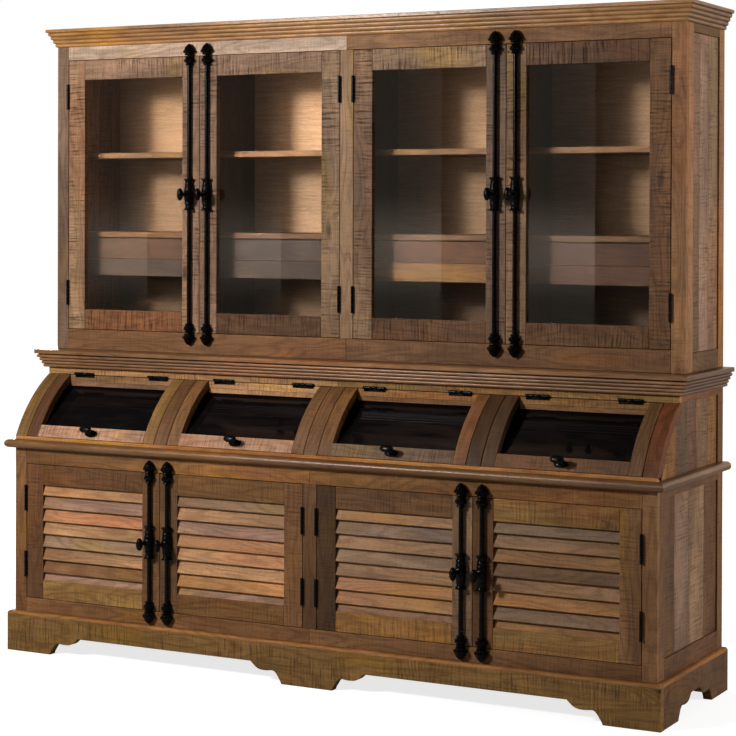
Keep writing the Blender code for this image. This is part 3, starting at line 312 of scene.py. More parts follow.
def grid_faces(stations: int, around: int) -> Faces:
    """Joins a grid of stations by points around into a tube, and closes both ends.

    Args:
        stations: Number of stations along the tube.
        around: Number of points round each.

    Returns:
        The quads of the wall and the two end faces.
    """
    j, i = np.meshgrid(np.arange(stations - 1), np.arange(around), indexing="ij")
    following = (i + 1) % around
    near, far = j * around, (j + 1) * around
    quads = np.stack([near + i, near + following, far + following, far + i], -1)
    ends = [list(range(around))[::-1], [(stations - 1) * around + k for k in range(around)]]
    return quads.reshape(-1, 4).tolist() + ends


def carried(section: Array, bases: Array, outs: Array, ups: Array, along: Array | None = None,
            half: Triple | None = None, worn: Array | None = None) -> Shell:
    """Carries a closed section along a path.

    point(station, k) = base + out * section[k, 0] + up * section[k, 1]. An out vector of (1, -1, 0) at a
    station mitres a corner, because both faces grow by the same amount there.

    Args:
        section: Closed outline of (out, up) points.
        bases: The path's stations.
        outs: Direction of the section's first axis at each station.
        ups: Direction of its second axis at each station.
        along: Length run at each station; without it, lengths are measured along the line between the ends.
        half: Half sizes of a board whose section is centred on the path, for wear along its edges.
        worn: Wear of each point of the section, with any painted highlight or painted groove shade.

    Returns:
        The closed piece.
    """
    points = bases[:, None] + outs[:, None] * section[None, :, :1] + ups[:, None] * section[None, :, 1:]
    stations, around = points.shape[:2]
    if along is None:
        line = (bases[-1] - bases[0]) / np.linalg.norm(bases[-1] - bases[0])
        lengths = (points - bases.mean(0)) @ line
    else:
        lengths = np.repeat((along - along.mean())[:, None], around, axis=1)
    if half is None:
        steps = np.linalg.norm(np.diff(section, axis=0, prepend=section[-1:]), axis=1)
        across = np.tile(np.cumsum(steps), (stations, 1))
        through = np.zeros_like(across)
        half = (np.abs(lengths).max(), NO_EDGE, NO_EDGE)
    else:
        across = np.tile(section[:, 0], (stations, 1))
        through = np.tile(section[:, 1], (stations, 1))
    place = np.stack([lengths, across, through], -1).reshape(-1, 3)
    flat = points.reshape(-1, 3)
    rubbed = np.zeros(around) if worn is None else worn
    faces = facing_out(flat, grid_faces(stations, around))
    return Shell(flat, faces, place, np.tile(half, (len(flat), 1)), np.tile(rubbed, stations))


def eased_rectangle(half_width: float, half_height: float, eased: float = EASED) -> Array:
    """Outline of a rectangle with its corners cut off, centred on the origin.

    Args:
        half_width: Half its width.
        half_height: Half its height.
        eased: How much of each side a cut corner takes.

    Returns:
        The closed outline.
    """
    w, h = half_width, half_height
    return np.array([
        (-w + eased, -h), (w - eased, -h), (w, -h + eased), (w, h - eased),
        (w - eased, h), (-w + eased, h), (-w, h - eased), (-w, -h + eased),
    ])


def inset_outline(outline: Array, inset: float) -> Array:
    """Draws a closed outline in by a distance.

    Each point moves along the sum of its two edges' inward normals, scaled so that both edges move by the
    inset.

    Args:
        outline: Closed outline, wound anticlockwise.
        inset: How far its edges move in.

    Returns:
        The smaller outline.
    """
    edges = np.roll(outline, -1, axis=0) - outline
    normals = np.stack([-edges[:, 1], edges[:, 0]], -1) / np.linalg.norm(edges, axis=1, keepdims=True)
    before = np.roll(normals, 1, axis=0)
    bisector = normals + before
    sharpest = 0.6
    scale = 2.0 / np.maximum((bisector ** 2).sum(1, keepdims=True), sharpest)
    return outline + inset * bisector * scale


def sawn_board(outline: Array, thickness: Span, u_axis: Array, v_axis: Array, w_axis: Array,
               eased: float = EASED, band: float = 0.003) -> Shell:
    """Makes a board that is sawn to an outline.

    Rings of the outline run from a band inside the front face, over the eased edge, down the rim and back
    in over the other face: point = u_axis * u + v_axis * v + w_axis * w.

    Args:
        outline: Closed outline of (u, v) points.
        thickness: w of the back and of the front face.
        u_axis: Direction of the outline's first coordinate, along the grain.
        v_axis: Direction of its second coordinate.
        w_axis: Direction of the thickness.
        eased: Width of the chamfer.
        band: Width of the rubbed band on both faces.

    Returns:
        The board.
    """
    area = np.sum(outline[:, 0] * np.roll(outline[:, 1], -1) - outline[:, 1] * np.roll(outline[:, 0], -1))
    drawn = outline if area > 0 else outline[::-1]
    low, high = min(thickness), max(thickness)
    rub = 0.7
    rings = [(band, low, 0.0), (eased, low, rub), (0.0, low + eased, rub), (0.0, high - eased, rub),
             (eased, high, rub), (band, high, 0.0)]
    points, place, worn = [], [], []
    for inset, w, rubbed in rings:
        ring = inset_outline(drawn, inset) if inset else drawn
        points.append(ring[:, :1] * u_axis + ring[:, 1:] * v_axis + w * w_axis)
        place.append(np.column_stack([ring, np.full(len(ring), w)]))
        worn.append(np.full(len(ring), rubbed))
    flat = np.concatenate(points)
    faces = facing_out(flat, grid_faces(len(rings), len(drawn)))
    return Shell(flat, faces, np.concatenate(place), np.full((len(flat), 3), NO_EDGE), np.concatenate(worn))


def lathe(heights: Array, radii: Array, centre: Array, axis: Array, sides: int = 24, lobes: int = 0,
          swell: Array | None = None, flatten: float = 1.0) -> Shell:
    """Turns a profile about an axis, with lobes that swell where a casting has leaves or beads.

    point(k, angle) = centre + axis * height + radius * (1 + swell * max(0, cos(lobes * angle)) ** 3) *
    rim(angle).

    Args:
        heights: Height of each ring along the axis.
        radii: Radius of each ring.
        centre: Where height 0 lies.
        axis: Unit vector along the axis.
        sides: Points round each ring.
        lobes: Number of lobes round the axis.
        swell: How much each ring swells at its lobes.
        flatten: Scale of the rings across the second rim direction.

    Returns:
        The closed piece.
    """
    helper = UNIT[X] if abs(axis[X]) < 0.9 else UNIT[Z]
    first = np.cross(np.cross(axis, helper), axis)
    first = first / np.linalg.norm(first)
    second = np.cross(axis, first)
    angles = 2 * math.pi * np.arange(sides) / sides
    rim = np.cos(angles)[:, None] * first + flatten * np.sin(angles)[:, None] * second
    bulge = np.maximum(np.cos(lobes * angles), 0.0) ** 3 if lobes else np.zeros(sides)
    swelling = np.zeros(len(radii)) if swell is None else swell
    reach = radii[:, None] * (1.0 + swelling[:, None] * bulge[None])
    points = np.array(centre) + heights[:, None, None] * axis + reach[..., None] * rim[None]
    flat = points.reshape(-1, 3)
    place = np.stack([np.repeat(heights, sides), np.tile(angles * radii.max(), len(radii)),
                      np.zeros(len(flat))], -1)
    faces = facing_out(flat, grid_faces(len(radii), sides))
    return Shell(flat, faces, place, np.full((len(flat), 3), NO_EDGE), np.zeros(len(flat)))


def smooth_profile(points: Sequence[Span], steps: int = 5) -> Array:
    """Rounds a profile with a curve through its points.

    Between two points the curve is the cubic whose slope at each is half the step between its neighbours.

    Args:
        points: The profile's points.
        steps: Number of parts between two points.

    Returns:
        The finer profile.
    """
    knots = np.array(points, float)
    padded = np.vstack([2 * knots[0] - knots[1], knots, 2 * knots[-1] - knots[-2]])
    t = np.linspace(0.0, 1.0, steps, endpoint=False)[None, :, None]
    p0, p1, p2, p3 = (padded[i:len(padded) - 3 + i, None] for i in range(4))
    curve = 0.5 * (2 * p1 + (p2 - p0) * t + (2 * p0 - 5 * p1 + 4 * p2 - p3) * t ** 2
                   + (3 * p1 - p0 - 3 * p2 + p3) * t ** 3)
    return np.vstack([curve.reshape(-1, 2), knots[-1:]])


@dataclass
class Joinery:
    """Gathers the shells of one piece and turns them into an object that rides on a body."""

    name: str
    body: str = "cabinet"
    shells: list[Shell] = field(default_factory=list)
    seeds: list[float] = field(default_factory=list)
    tones: list[Array] = field(default_factory=list)
    sawn: list[float] = field(default_factory=list)
    luck: np.random.Generator = field(init=False)

    def __post_init__(self) -> None:
        """Seeds the piece's own luck from its name, so that no piece depends on another."""
        self.luck = np.random.default_rng([RANDOM_SEED, *self.name.encode()])

    def add(self, shell: Shell, stain: Stain = Tone.WALNUT, sawn: float = 0.35) -> None:
        """Adds one board, casting or moulding.

        Args:
            shell: Its surface.
            stain: Its stain.
            sawn: How rough its saw marks are, from 0 to 1.
        """
        colour = stain.at(1.0) if isinstance(stain, Tone) else stain
        spread = self.luck.normal(0.0, 1.0, 3)
        jitter = 1.0 + TONE_SPREAD * spread[0] + HUE_SPREAD * spread[1]
        self.shells.append(shell)
        self.seeds.append(float(self.luck.uniform(0.0, SEED_RANGE)))
        self.tones.append(colour * np.clip(jitter, *TONE_LIMITS))
        self.sawn.append(sawn)

    def finish(self, finish: Finish, replaced: tuple[str, ...] = (), sharp: float = 30.0) -> None:
        """Builds the object, dresses it and lets it ride.

        Args:
            finish: Its material.
            replaced: The CAD nodes that it stands for.
            sharp: Angle in degrees past which an edge stays sharp.
        """
        counts = np.array([len(shell.points) for shell in self.shells])
        starts = np.concatenate([[0], np.cumsum(counts)[:-1]])
        points = np.concatenate([shell.points for shell in self.shells])
        faces = [[corner + int(start) for corner in face]
                 for shell, start in zip(self.shells, starts) for face in shell.faces]
        mesh = bpy.data.meshes.new(self.name)
        mesh.from_pydata(points.tolist(), [], faces)
        values = {
            "board_place": ("FLOAT_VECTOR", "vector", np.concatenate([s.place for s in self.shells])),
            "board_half": ("FLOAT_VECTOR", "vector", np.concatenate([s.half for s in self.shells])),
            "board_tone": ("FLOAT_VECTOR", "vector", np.repeat(np.array(self.tones), counts, axis=0)),
            "board_seed": ("FLOAT", "value", np.repeat(self.seeds, counts)),
            "board_sawn": ("FLOAT", "value", np.repeat(self.sawn, counts)),
            "board_worn": ("FLOAT", "value", np.concatenate([s.worn for s in self.shells])),
        }
        for label, (kind, key, data) in values.items():
            attribute = mesh.attributes.new(label, kind, "POINT")
            attribute.data.foreach_set(key, np.ascontiguousarray(data, np.float32).ravel())
        mesh.shade_smooth()
        mesh.set_sharp_from_angle(angle=math.radians(sharp))
        mesh.materials.append(finish.material)
        mesh.validate()
        item = bpy.data.objects.new(self.name, mesh)
        bpy.context.scene.collection.objects.link(item)
        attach(item, self.body)
        if replaced:
            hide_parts(*replaced)
        LOG.info("%s: %d faces on %s", self.name, len(mesh.polygons), self.body)


class Graph:
    """Short words for placing and linking shader nodes."""

    def __init__(self, tree: bpy.types.NodeTree) -> None:
        """Keeps the tree that the nodes go into."""
        self.tree = tree

    def put(self, socket: Socket, value: object) -> None:
        """Links a socket's value, or sets it where it is a constant.

        Args:
            socket: The input.
            value: Another node's output, or a constant.
        """
        if isinstance(value, Socket):
            self.tree.links.new(value, socket)
        elif isinstance(value, np.ndarray):
            socket.default_value = (*value, 1.0) if len(socket.default_value) == 4 else tuple(value)
        else:
            socket.default_value = value

    def node(self, kind: str, values: dict[str, object] | None = None, **settings: object) -> bpy.types.Node:
        """Adds a node.

        Args:
            kind: The node's type.
            values: What goes into its named inputs.
            settings: Its own settings.

        Returns:
            The node.
        """
        node = self.tree.nodes.new(kind)
        for name, value in settings.items():
            setattr(node, name, value)
        for name, value in (values or {}).items():
            self.put(node.inputs[name], value)
        return node

    def math(self, operation: str, *values: object, clamp: bool = False) -> Socket:
        """Works out one number from up to three.

        Args:
            operation: What is done.
            values: Sockets or constants.
            clamp: True to hold the result between 0 and 1.

        Returns:
            The result.
        """
        node = self.node("ShaderNodeMath", operation=operation, use_clamp=clamp)
        for socket, value in zip(node.inputs, values):
            self.put(socket, value)
        return node.outputs[0]

    def times(self, first: object, second: object, clamp: bool = False) -> Socket:
        """Multiplies two numbers."""
        return self.math("MULTIPLY", first, second, clamp=clamp)

    def vector(self, operation: str, *values: object) -> Socket:
        """Works out one vector from up to three.

        Args:
            operation: What is done.
            values: Sockets or constants.

        Returns:
            The result.
        """
        node = self.node("ShaderNodeVectorMath", operation=operation)
        for socket, value in zip(node.inputs, values):
            self.put(socket, value)
        return node.outputs[0]

    def scaled(self, vector: Socket, factor: object) -> Socket:
        """Multiplies a colour or a vector by one number.

        Args:
            vector: The colour or vector.
            factor: The number.

        Returns:
            The product.
        """
        node = self.node("ShaderNodeVectorMath", {"Scale": factor}, operation="SCALE")
        self.put(node.inputs[0], vector)
        return node.outputs[0]

    def stretched(self, place: Socket, scale: Triple, shift: Socket) -> Socket:
        """Scales board coordinates and slides them by the board's own seed."""
        return self.vector("ADD", self.vector("MULTIPLY", place, scale), shift)

    def noise(self, vector: Socket, detail: float = 2.0, roughness: float = 0.5) -> Socket:
        """Noise of one cycle per unit of the vector, from about 0.25 to 0.75."""
        return self.node("ShaderNodeTexNoise", {"Vector": vector, "Scale": 1.0, "Detail": detail,
                                                "Roughness": roughness}).outputs["Fac"]

    def between(self, value: Socket, low: float, high: float, start: float = 0.0, end: float = 1.0) -> Socket:
        """Runs smoothly from start to end as a value goes from low to high."""
        values = {"Value": value, "From Min": low, "From Max": high, "To Min": start, "To Max": end}
        return self.node("ShaderNodeMapRange", values, interpolation_type="SMOOTHSTEP").outputs[0]

    def mix(self, factor: object, first: object, second: object, blend: str = "MIX") -> Socket:
        """Mixes two colours.

        Args:
            factor: The second colour's share.
            first: The first colour.
            second: The second colour.
            blend: How they are blended.

        Returns:
            The mixed colour.
        """
        node = self.node("ShaderNodeMix", data_type="RGBA", blend_type=blend)
        for socket, value in zip((node.inputs[0], node.inputs[6], node.inputs[7]), (factor, first, second)):
            self.put(socket, value)
        return node.outputs[2]

    def tinted(self, colour: object, tint: Triple) -> Socket:
        """Multiplies a colour by a tint."""
        return self.mix(1.0, colour, (*tint, 1.0), "MULTIPLY")

    def bump(self, shader: bpy.types.Node, strength: float, distance: float, height: object) -> None:
        """Lets a height bend the shader's normal."""
        node = self.node("ShaderNodeBump", {"Strength": strength, "Distance": distance, "Height": height})
        self.put(shader.inputs["Normal"], node.outputs["Normal"])

    def object_place(self) -> Socket:
        """Reads Object coordinates."""
        return self.node("ShaderNodeTexCoord").outputs["Object"]

    def attribute(self, name: str, output: str) -> Socket:
        """Reads one of the piece's own attributes."""
        return self.node("ShaderNodeAttribute", attribute_name=name).outputs[output]


class Effect:
    """A shader node group with named inputs and outputs, shared by the finishes."""

    def __init__(self, name: str, inputs: dict[str, str], outputs: dict[str, str]) -> None:
        """Makes an empty group.

        Args:
            name: The group's name.
            inputs: Its inputs, each with its kind of socket.
            outputs: Its outputs, each with its kind of socket.
        """
        self.tree = bpy.data.node_groups.new(name, "ShaderNodeTree")
        for label, kind in inputs.items():
            self.tree.interface.new_socket(label, in_out="INPUT", socket_type=kind)
        for label, kind in outputs.items():
            self.tree.interface.new_socket(label, in_out="OUTPUT", socket_type=kind)
        self.graph = Graph(self.tree)
        self.given = self.graph.node("NodeGroupInput").outputs
        self.result = self.graph.node("NodeGroupOutput").inputs

    def placed(self, graph: Graph, values: dict[str, object]) -> bpy.types.bpy_prop_collection:
        """Places the group in a material and returns its outputs."""
        return graph.node("ShaderNodeGroup", values, node_tree=self.tree).outputs


NUMBER, COLOUR, DIRECTION = "NodeSocketFloat", "NodeSocketColor", "NodeSocketVector"


def plain_material(name: str) -> tuple[bpy.types.Material, Graph, bpy.types.Node]:
    """Makes a material.

    Args:
        name: Its name.

    Returns:
        The material, the graph of its nodes and its Principled shader.
    """
    material = bpy.data.materials.new(name)
    material.use_nodes = True
    return material, Graph(material.node_tree), material.node_tree.nodes["Principled BSDF"]


def seed_shift(graph: Graph, seed: Socket, pace: float) -> Socket:
    """Turns a board's seed into a shift of its pattern, different for each pace."""
    shifts = {axis: graph.times(seed, stride * pace) for axis, stride in zip("XYZ", SEED_STRIDE)}
    return graph.node("ShaderNodeCombineXYZ", shifts).outputs[0]


@dataclass(frozen=True)
class Drift:
    """One way in which the stain drifts over a board: its pattern, its span and its tint."""

    pattern: Triple
    detail: float
    pace: float
    span: Span
    most: float
    tint: Triple


@dataclass(frozen=True)
class Grain:
    """The grain: contour figure, fibres, pores, knots and drifting stain.

    Patterns are in cycles per metre along, across and through the board. The figure is the contour lines of
    a noise that is stretched along the board, bent round the knots; fibres and pores are finer noises
    stretched further. Stain drifts between a greener, a redder, a darker and a paler form of the tone.
    """

    knot_cells: Triple = (2.4, 7.0, 7.0)
    knot_share: Span = (0.66, 0.70)
    knot_edge: Span = (0.03, 0.12)
    knot_depth: float = 0.9
    knot_tint: Triple = (0.16, 0.12, 0.10)
    bend_edge: Span = (0.02, 0.34)
    bend: float = 0.16
    swirl: Triple = (1.9, 11.0, 11.0)
    contours: float = 78.0
    contour_edge: Span = (-0.2, 1.0)
    contour_tint: Triple = (0.50, 0.44, 0.40)
    fibres: Triple = (9.0, 260.0, 260.0)
    fibre_edge: Span = (0.30, 0.72)
    fibre_shade: Span = (1.40, 1.02)
    pores: Triple = (70.0, 900.0, 900.0)
    pore_edge: Span = (0.60, 0.68)
    pore_depth: float = 0.55
    pore_tint: Triple = (0.30, 0.26, 0.22)
    heights: Triple = (0.35, -0.12, -0.5)
    drifts: tuple[Drift, ...] = (
        Drift((2.6, 6.0, 6.0), 2.0, 4.1, (0.54, 0.70), 0.75, (1.08, 1.05, 0.50)),
        Drift((1.1, 5.0, 5.0), 2.0, 6.7, (0.52, 0.68), 0.70, (1.05, 0.82, 0.74)),
        Drift((1.6, 7.0, 7.0), 3.0, 2.3, (0.42, 0.68), 0.80, (0.58, 0.56, 0.55)),
        Drift((4.2, 12.0, 12.0), 3.0, 8.3, (0.50, 0.66), 0.80, (1.30, 1.30, 1.32)),
    )

    def effect(self) -> Effect:
        """Builds the group.

        Returns:
            The group.
        """
        effect = Effect("grain", {"Place": DIRECTION, "Seed": NUMBER, "Tone": COLOUR, "Figure": NUMBER,
                                  "Drift": NUMBER}, {"Color": COLOUR, "Height": NUMBER})
        graph, given = effect.graph, effect.given
        place, seed = given["Place"], given["Seed"]
        shift = seed_shift(graph, seed, 1.0)
        cells = graph.node("ShaderNodeTexVoronoi", {"Vector": graph.stretched(place, self.knot_cells, shift),
                                                    "Scale": 1.0}).outputs
        luck = graph.node("ShaderNodeSeparateColor", {"Color": cells["Color"]}).outputs[0]
        rarity = graph.between(luck, *self.knot_share)
        near_knot, knot = (graph.times(graph.between(cells["Distance"], *edge, 1.0, 0.0), rarity)
                           for edge in (self.bend_edge, self.knot_edge))
        swirl = graph.noise(graph.stretched(place, self.swirl, shift), detail=1.5)
        bent = graph.math("MULTIPLY_ADD", near_knot, self.bend, swirl)
        lines = graph.between(graph.math("SINE", graph.times(bent, self.contours)), *self.contour_edge)
        fibre = graph.noise(graph.stretched(place, self.fibres, shift), detail=3.0, roughness=0.6)
        pores = graph.noise(graph.stretched(place, self.pores, shift), detail=1.0)
        pores = graph.between(pores, *self.pore_edge)
        colour = given["Tone"]
        for drift in self.drifts:
            noise = graph.noise(graph.stretched(place, drift.pattern, seed_shift(graph, seed, drift.pace)),
                                detail=drift.detail)
            amount = graph.times(graph.between(noise, *drift.span, 0.0, drift.most), given["Drift"])
            colour = graph.mix(amount, colour, graph.tinted(colour, drift.tint))
        figure = graph.times(lines, given["Figure"])
        colour = graph.mix(figure, colour, graph.tinted(colour, self.contour_tint))
        colour = graph.scaled(colour, graph.between(fibre, *self.fibre_edge, *self.fibre_shade))
        colour = graph.mix(graph.times(pores, self.pore_depth), colour, graph.tinted(colour, self.pore_tint))
        colour = graph.mix(graph.times(knot, self.knot_depth), colour, graph.tinted(colour, self.knot_tint))
        by_fibre, by_line, by_pore = self.heights
        height = graph.math("MULTIPLY_ADD", fibre, by_fibre, graph.times(lines, by_line))
        graph.put(effect.result["Color"], colour)
        graph.put(effect.result["Height"], graph.math("MULTIPLY_ADD", pores, by_pore, height))
        return effect


@dataclass(frozen=True)
class SawMarks:
    """Saw marks: close lines across the board and paler ridges between them, in patches."""

    waves: Triple = (9.0, 2.5, 2.5)
    lines: Span = (540.0, 40.0)
    line_depth: float = 0.055
    ticks: Triple = (140.0, 9.0, 9.0)
    patches: Triple = (6.0, 16.0, 16.0)
    pace: float = 3.3
    patch_edge: Span = (0.36, 0.60)
    weakest: float = 0.30
    cut_edge: Span = (0.51, 0.64)
    ridge_edge: Span = (0.36, 0.48)

    def effect(self) -> Effect:
        """Builds the group.

        Returns:
            The group.
        """
        effect = Effect("saw_marks", {"Place": DIRECTION, "Seed": NUMBER, "Amount": NUMBER},
                        {"Mask": NUMBER, "Ridge": NUMBER})
        graph, given = effect.graph, effect.given
        shift = seed_shift(graph, given["Seed"], self.pace)
        run = graph.node("ShaderNodeSeparateXYZ", {"Vector": given["Place"]}).outputs[0]
        waves = graph.noise(graph.stretched(given["Place"], self.waves, shift), detail=2.0)
        phase = graph.math("MULTIPLY_ADD", run, self.lines[0], graph.times(waves, self.lines[1]))
        lines = graph.math("MULTIPLY_ADD", graph.math("SINE", phase), self.line_depth, 0.5)
        ticks = graph.noise(graph.stretched(given["Place"], self.ticks, shift), detail=4.0, roughness=0.75)
        cut = graph.math("ADD", lines, graph.math("SUBTRACT", ticks, 0.5))
        patches = graph.noise(graph.stretched(given["Place"], self.patches, shift), detail=2.0)
        strength = graph.times(graph.between(patches, *self.patch_edge, self.weakest, 1.0), given["Amount"])
        outputs = (("Mask", self.cut_edge, (0.0, 1.0)), ("Ridge", self.ridge_edge, (1.0, 0.0)))
        for label, edge, ends in outputs:
            marks = graph.between(cut, *edge, *ends)
            graph.put(effect.result[label], graph.times(marks, strength, clamp=True))
        return effect


@dataclass(frozen=True)
class EdgeWearAndLight:
    """Edge wear with some painted highlights, and painted shade in grooves.

    On a board the point's three distances to its faces are sorted, and the middle one is how far the
    nearest edge is. Noise breaks the rubbed band up, and the piece's own value adds to it: rubbed wear, and
    on some mouldings a painted highlight; below 0 that value is painted shade in a groove.
    """

    pattern: Triple = (28.0, 90.0, 90.0)
    pace: float = 5.9
    band: Span = (2.4, -0.5)
    rubbed_edge: Span = (0.35, 0.6)
    least_rubbed: float = 0.35

    def effect(self) -> Effect:
        """Builds the group.

        Returns:
            The group.
        """
        effect = Effect("edge_wear_and_light", {"Place": DIRECTION, "Half": DIRECTION, "Seed": NUMBER, "Worn": NUMBER,
                                      "Reach": NUMBER}, {"Mask": NUMBER, "Groove Shade": NUMBER})
        graph, given = effect.graph, effect.given
        inside = graph.vector("SUBTRACT", given["Half"], graph.vector("ABSOLUTE", given["Place"]))
        parts = graph.node("ShaderNodeSeparateXYZ", {"Vector": inside}).outputs
        low, high = graph.math("MINIMUM", parts[0], parts[1]), graph.math("MAXIMUM", parts[0], parts[1])
        middle = graph.math("MAXIMUM", low, graph.math("MINIMUM", high, parts[2]))
        shift = seed_shift(graph, given["Seed"], self.pace)
        breakup = graph.noise(graph.stretched(given["Place"], self.pattern, shift), detail=3.0)
        distance = graph.math("DIVIDE", middle, given["Reach"])
        band = graph.math("SUBTRACT", graph.math("MULTIPLY_ADD", breakup, *self.band), distance, clamp=True)
        # The piece's own value: rubbed wear, and on some mouldings a painted highlight.
        rubbed = graph.times(given["Worn"], graph.between(breakup, *self.rubbed_edge, self.least_rubbed, 1.0))
        graph.put(effect.result["Mask"], graph.math("MAXIMUM", band, rubbed))
        # Below 0 the piece's value is painted shade in a groove.
        graph.put(effect.result["Groove Shade"], graph.times(given["Worn"], -1.0, clamp=True))
        return effect


@dataclass(frozen=True)
class Finish:
    """A material and the record's slot that it stands for."""

    material: bpy.types.Material
    slot: Slot


@dataclass(frozen=True)
class WoodRecipe:
    """Stained, rough-sawn mango wood under a thin satin wax."""

    name: str
    slot: Slot = Slot.WOOD
    figure: float = 0.42
    drift: float = 1.0
    saw_strength: float = 1.0
    wear: float = 0.45
    wear_reach: float = 0.0035
    roughness: float = 0.56
    specular: float = 0.16
    ridge: float = 0.60
    bump: float = 0.35
    bump_depth: float = 0.0008
    saw_depth: float = -0.9
    saw_shade: float = 0.34
    saw_dullness: float = 0.22
    lift: Triple = (1.62, 1.58, 1.52)
    groove_shade: float = 0.9
    groove_darkness: float = 0.18

    def made(self, effects: dict[str, Effect]) -> Finish:
        """Builds the material from the shared effects.

        Args:
            effects: The groups for grain, saw marks, and edge wear with painted light.

        Returns:
            The finish.
        """
        material, graph, shader = plain_material(self.name)
        place = graph.attribute("board_place", "Vector")
        seed = graph.attribute("board_seed", "Fac")
        tone = graph.attribute("board_tone", "Color")
        grain = effects["grain"].placed(graph, {"Place": place, "Seed": seed, "Tone": tone,
                                                "Figure": self.figure, "Drift": self.drift})
        amount = graph.times(graph.attribute("board_sawn", "Fac"), self.saw_strength)
        marks = effects["saw_marks"].placed(graph, {"Place": place, "Seed": seed, "Amount": amount})
        saw = marks["Mask"]
        edge = effects["edge_wear_and_light"].placed(graph, {
            "Place": place, "Seed": seed, "Half": graph.attribute("board_half", "Vector"),
            "Worn": graph.attribute("board_worn", "Fac"), "Reach": self.wear_reach})
        colour = graph.mix(saw, grain["Color"], graph.scaled(grain["Color"], self.saw_shade))
        lifted = graph.tinted(grain["Color"], self.lift)
        colour = graph.mix(graph.times(marks["Ridge"], self.ridge), colour, lifted)
        # Lighter rubbed edges: wear, and on some mouldings a painted highlight.
        colour = graph.mix(graph.times(edge["Mask"], self.wear), colour, lifted)
        # Painted shade in grooves: the colour is darkened where the piece's value is below 0.
        groove_shade = graph.times(edge["Groove Shade"], self.groove_shade)
        colour = graph.mix(groove_shade, colour, graph.scaled(colour, self.groove_darkness))
        graph.put(shader.inputs["Base Color"], colour)
        dull = graph.math("MULTIPLY_ADD", saw, self.saw_dullness, self.roughness, clamp=True)
        graph.put(shader.inputs["Roughness"], dull)
        height = graph.math("MULTIPLY_ADD", saw, self.saw_depth, grain["Height"])
        graph.bump(shader, self.bump, self.bump_depth, height)
        shader.inputs["Specular IOR Level"].default_value = self.specular
        return Finish(material, self.slot)


@dataclass(frozen=True)
class IronRecipe:
    """Blackened cast iron with a satin skin, uneven where it was cast."""

    name: str = "blackened_iron"
    dark: tuple[int, int, int] = (5, 5, 6)
    light: tuple[int, int, int] = (15, 14, 14)
    roughness: float = 0.22
    specular: float = 0.10
    lump_scale: float = 160.0
    speck_scale: float = 900.0
    bump: float = 0.12
    bump_depth: float = 0.0004
    speck_depth: float = 0.4
    tone_edge: Span = (0.40, 0.75)
    dull_edge: Span = (0.3, 0.7)
    dullness: float = 0.16

    def made(self) -> Finish:
        """Builds the material: two dark tones mixed by noise, rougher and duller where it is lighter.

        Returns:
            The finish.
        """
        material, graph, shader = plain_material(self.name)
        place = graph.object_place()
        lumps = graph.noise(graph.vector("MULTIPLY", place, (self.lump_scale,) * 3), detail=3.0)
        specks = graph.noise(graph.vector("MULTIPLY", place, (self.speck_scale,) * 3), detail=2.0)
        tones = [(*linear(tone), 1.0) for tone in (self.dark, self.light)]
        graph.put(shader.inputs["Base Color"], graph.mix(graph.between(lumps, *self.tone_edge), *tones))
        graph.put(shader.inputs["Roughness"],
                  graph.between(lumps, *self.dull_edge, self.roughness, self.roughness + self.dullness))
        shader.inputs["Specular IOR Level"].default_value = self.specular
        height = graph.math("MULTIPLY_ADD", specks, self.speck_depth, lumps)
        graph.bump(shader, self.bump, self.bump_depth, height)
        return Finish(material, Slot.IRON)


@dataclass(frozen=True)
class GlassRecipe:
    """Thin clear glass that lets the lamps through to what is behind it."""

    name: str = "window_glass"
    colour: Triple = (0.96, 0.97, 0.96)
    smear_scale: float = 7.0
    smear_edge: Span = (0.45, 0.75)
    smear_roughness: float = 0.03
    ior: float = 1.45

    def made(self) -> Finish:
        """Builds the material: smooth glass, a little smeared, and transparent to shadow rays.

        Returns:
            The finish.
        """
        material, graph, shader = plain_material(self.name)
        shader.inputs["Base Color"].default_value = (*self.colour, 1.0)
        shader.inputs["Transmission Weight"].default_value = 1.0
        shader.inputs["IOR"].default_value = self.ior
        place = graph.object_place()
        smears = graph.noise(graph.vector("MULTIPLY", place, (self.smear_scale,) * 3), detail=3.0)
        rough = graph.between(smears, *self.smear_edge, 0.0, self.smear_roughness)
        graph.put(shader.inputs["Roughness"], rough)
        clear = graph.node("ShaderNodeBsdfTransparent")
        choose = graph.node("ShaderNodeMixShader")
        graph.put(choose.inputs[0], graph.node("ShaderNodeLightPath").outputs["Is Shadow Ray"])
        graph.put(choose.inputs[1], shader.outputs[0])
        graph.put(choose.inputs[2], clear.outputs[0])
        graph.put(material.node_tree.nodes["Material Output"].inputs["Surface"], choose.outputs[0])
        return Finish(material, Slot.GLASS)


@dataclass(frozen=True)
class DarkGlassRecipe:
    """Near-black glossy panes of the curved flaps, with faint smears."""

    name: str = "smoked_glass"
    colour: tuple[int, int, int] = (10, 8, 9)
    smeared: Triple = (0.008, 0.006, 0.006)
    smear_scale: Triple = (6.0, 30.0, 30.0)
    smear_edge: Span = (0.45, 0.8)
    dull_edge: Span = (0.35, 0.75)
    roughness: Span = (0.04, 0.16)
    specular: float = 0.35

    def made(self) -> Finish:
        """Builds the material: a dark base under a smooth skin.

        Returns:
            The finish.
        """
        material, graph, shader = plain_material(self.name)
        place = graph.object_place()
        smears = graph.noise(graph.vector("MULTIPLY", place, self.smear_scale), detail=3.0)
        tones = (*linear(self.colour), 1.0), (*self.smeared, 1.0)
        graph.put(shader.inputs["Base Color"], graph.mix(graph.between(smears, *self.smear_edge), *tones))
        graph.put(shader.inputs["Roughness"], graph.between(smears, *self.dull_edge, *self.roughness))
        shader.inputs["Specular IOR Level"].default_value = self.specular
        return Finish(material, Slot.DARK_GLASS)


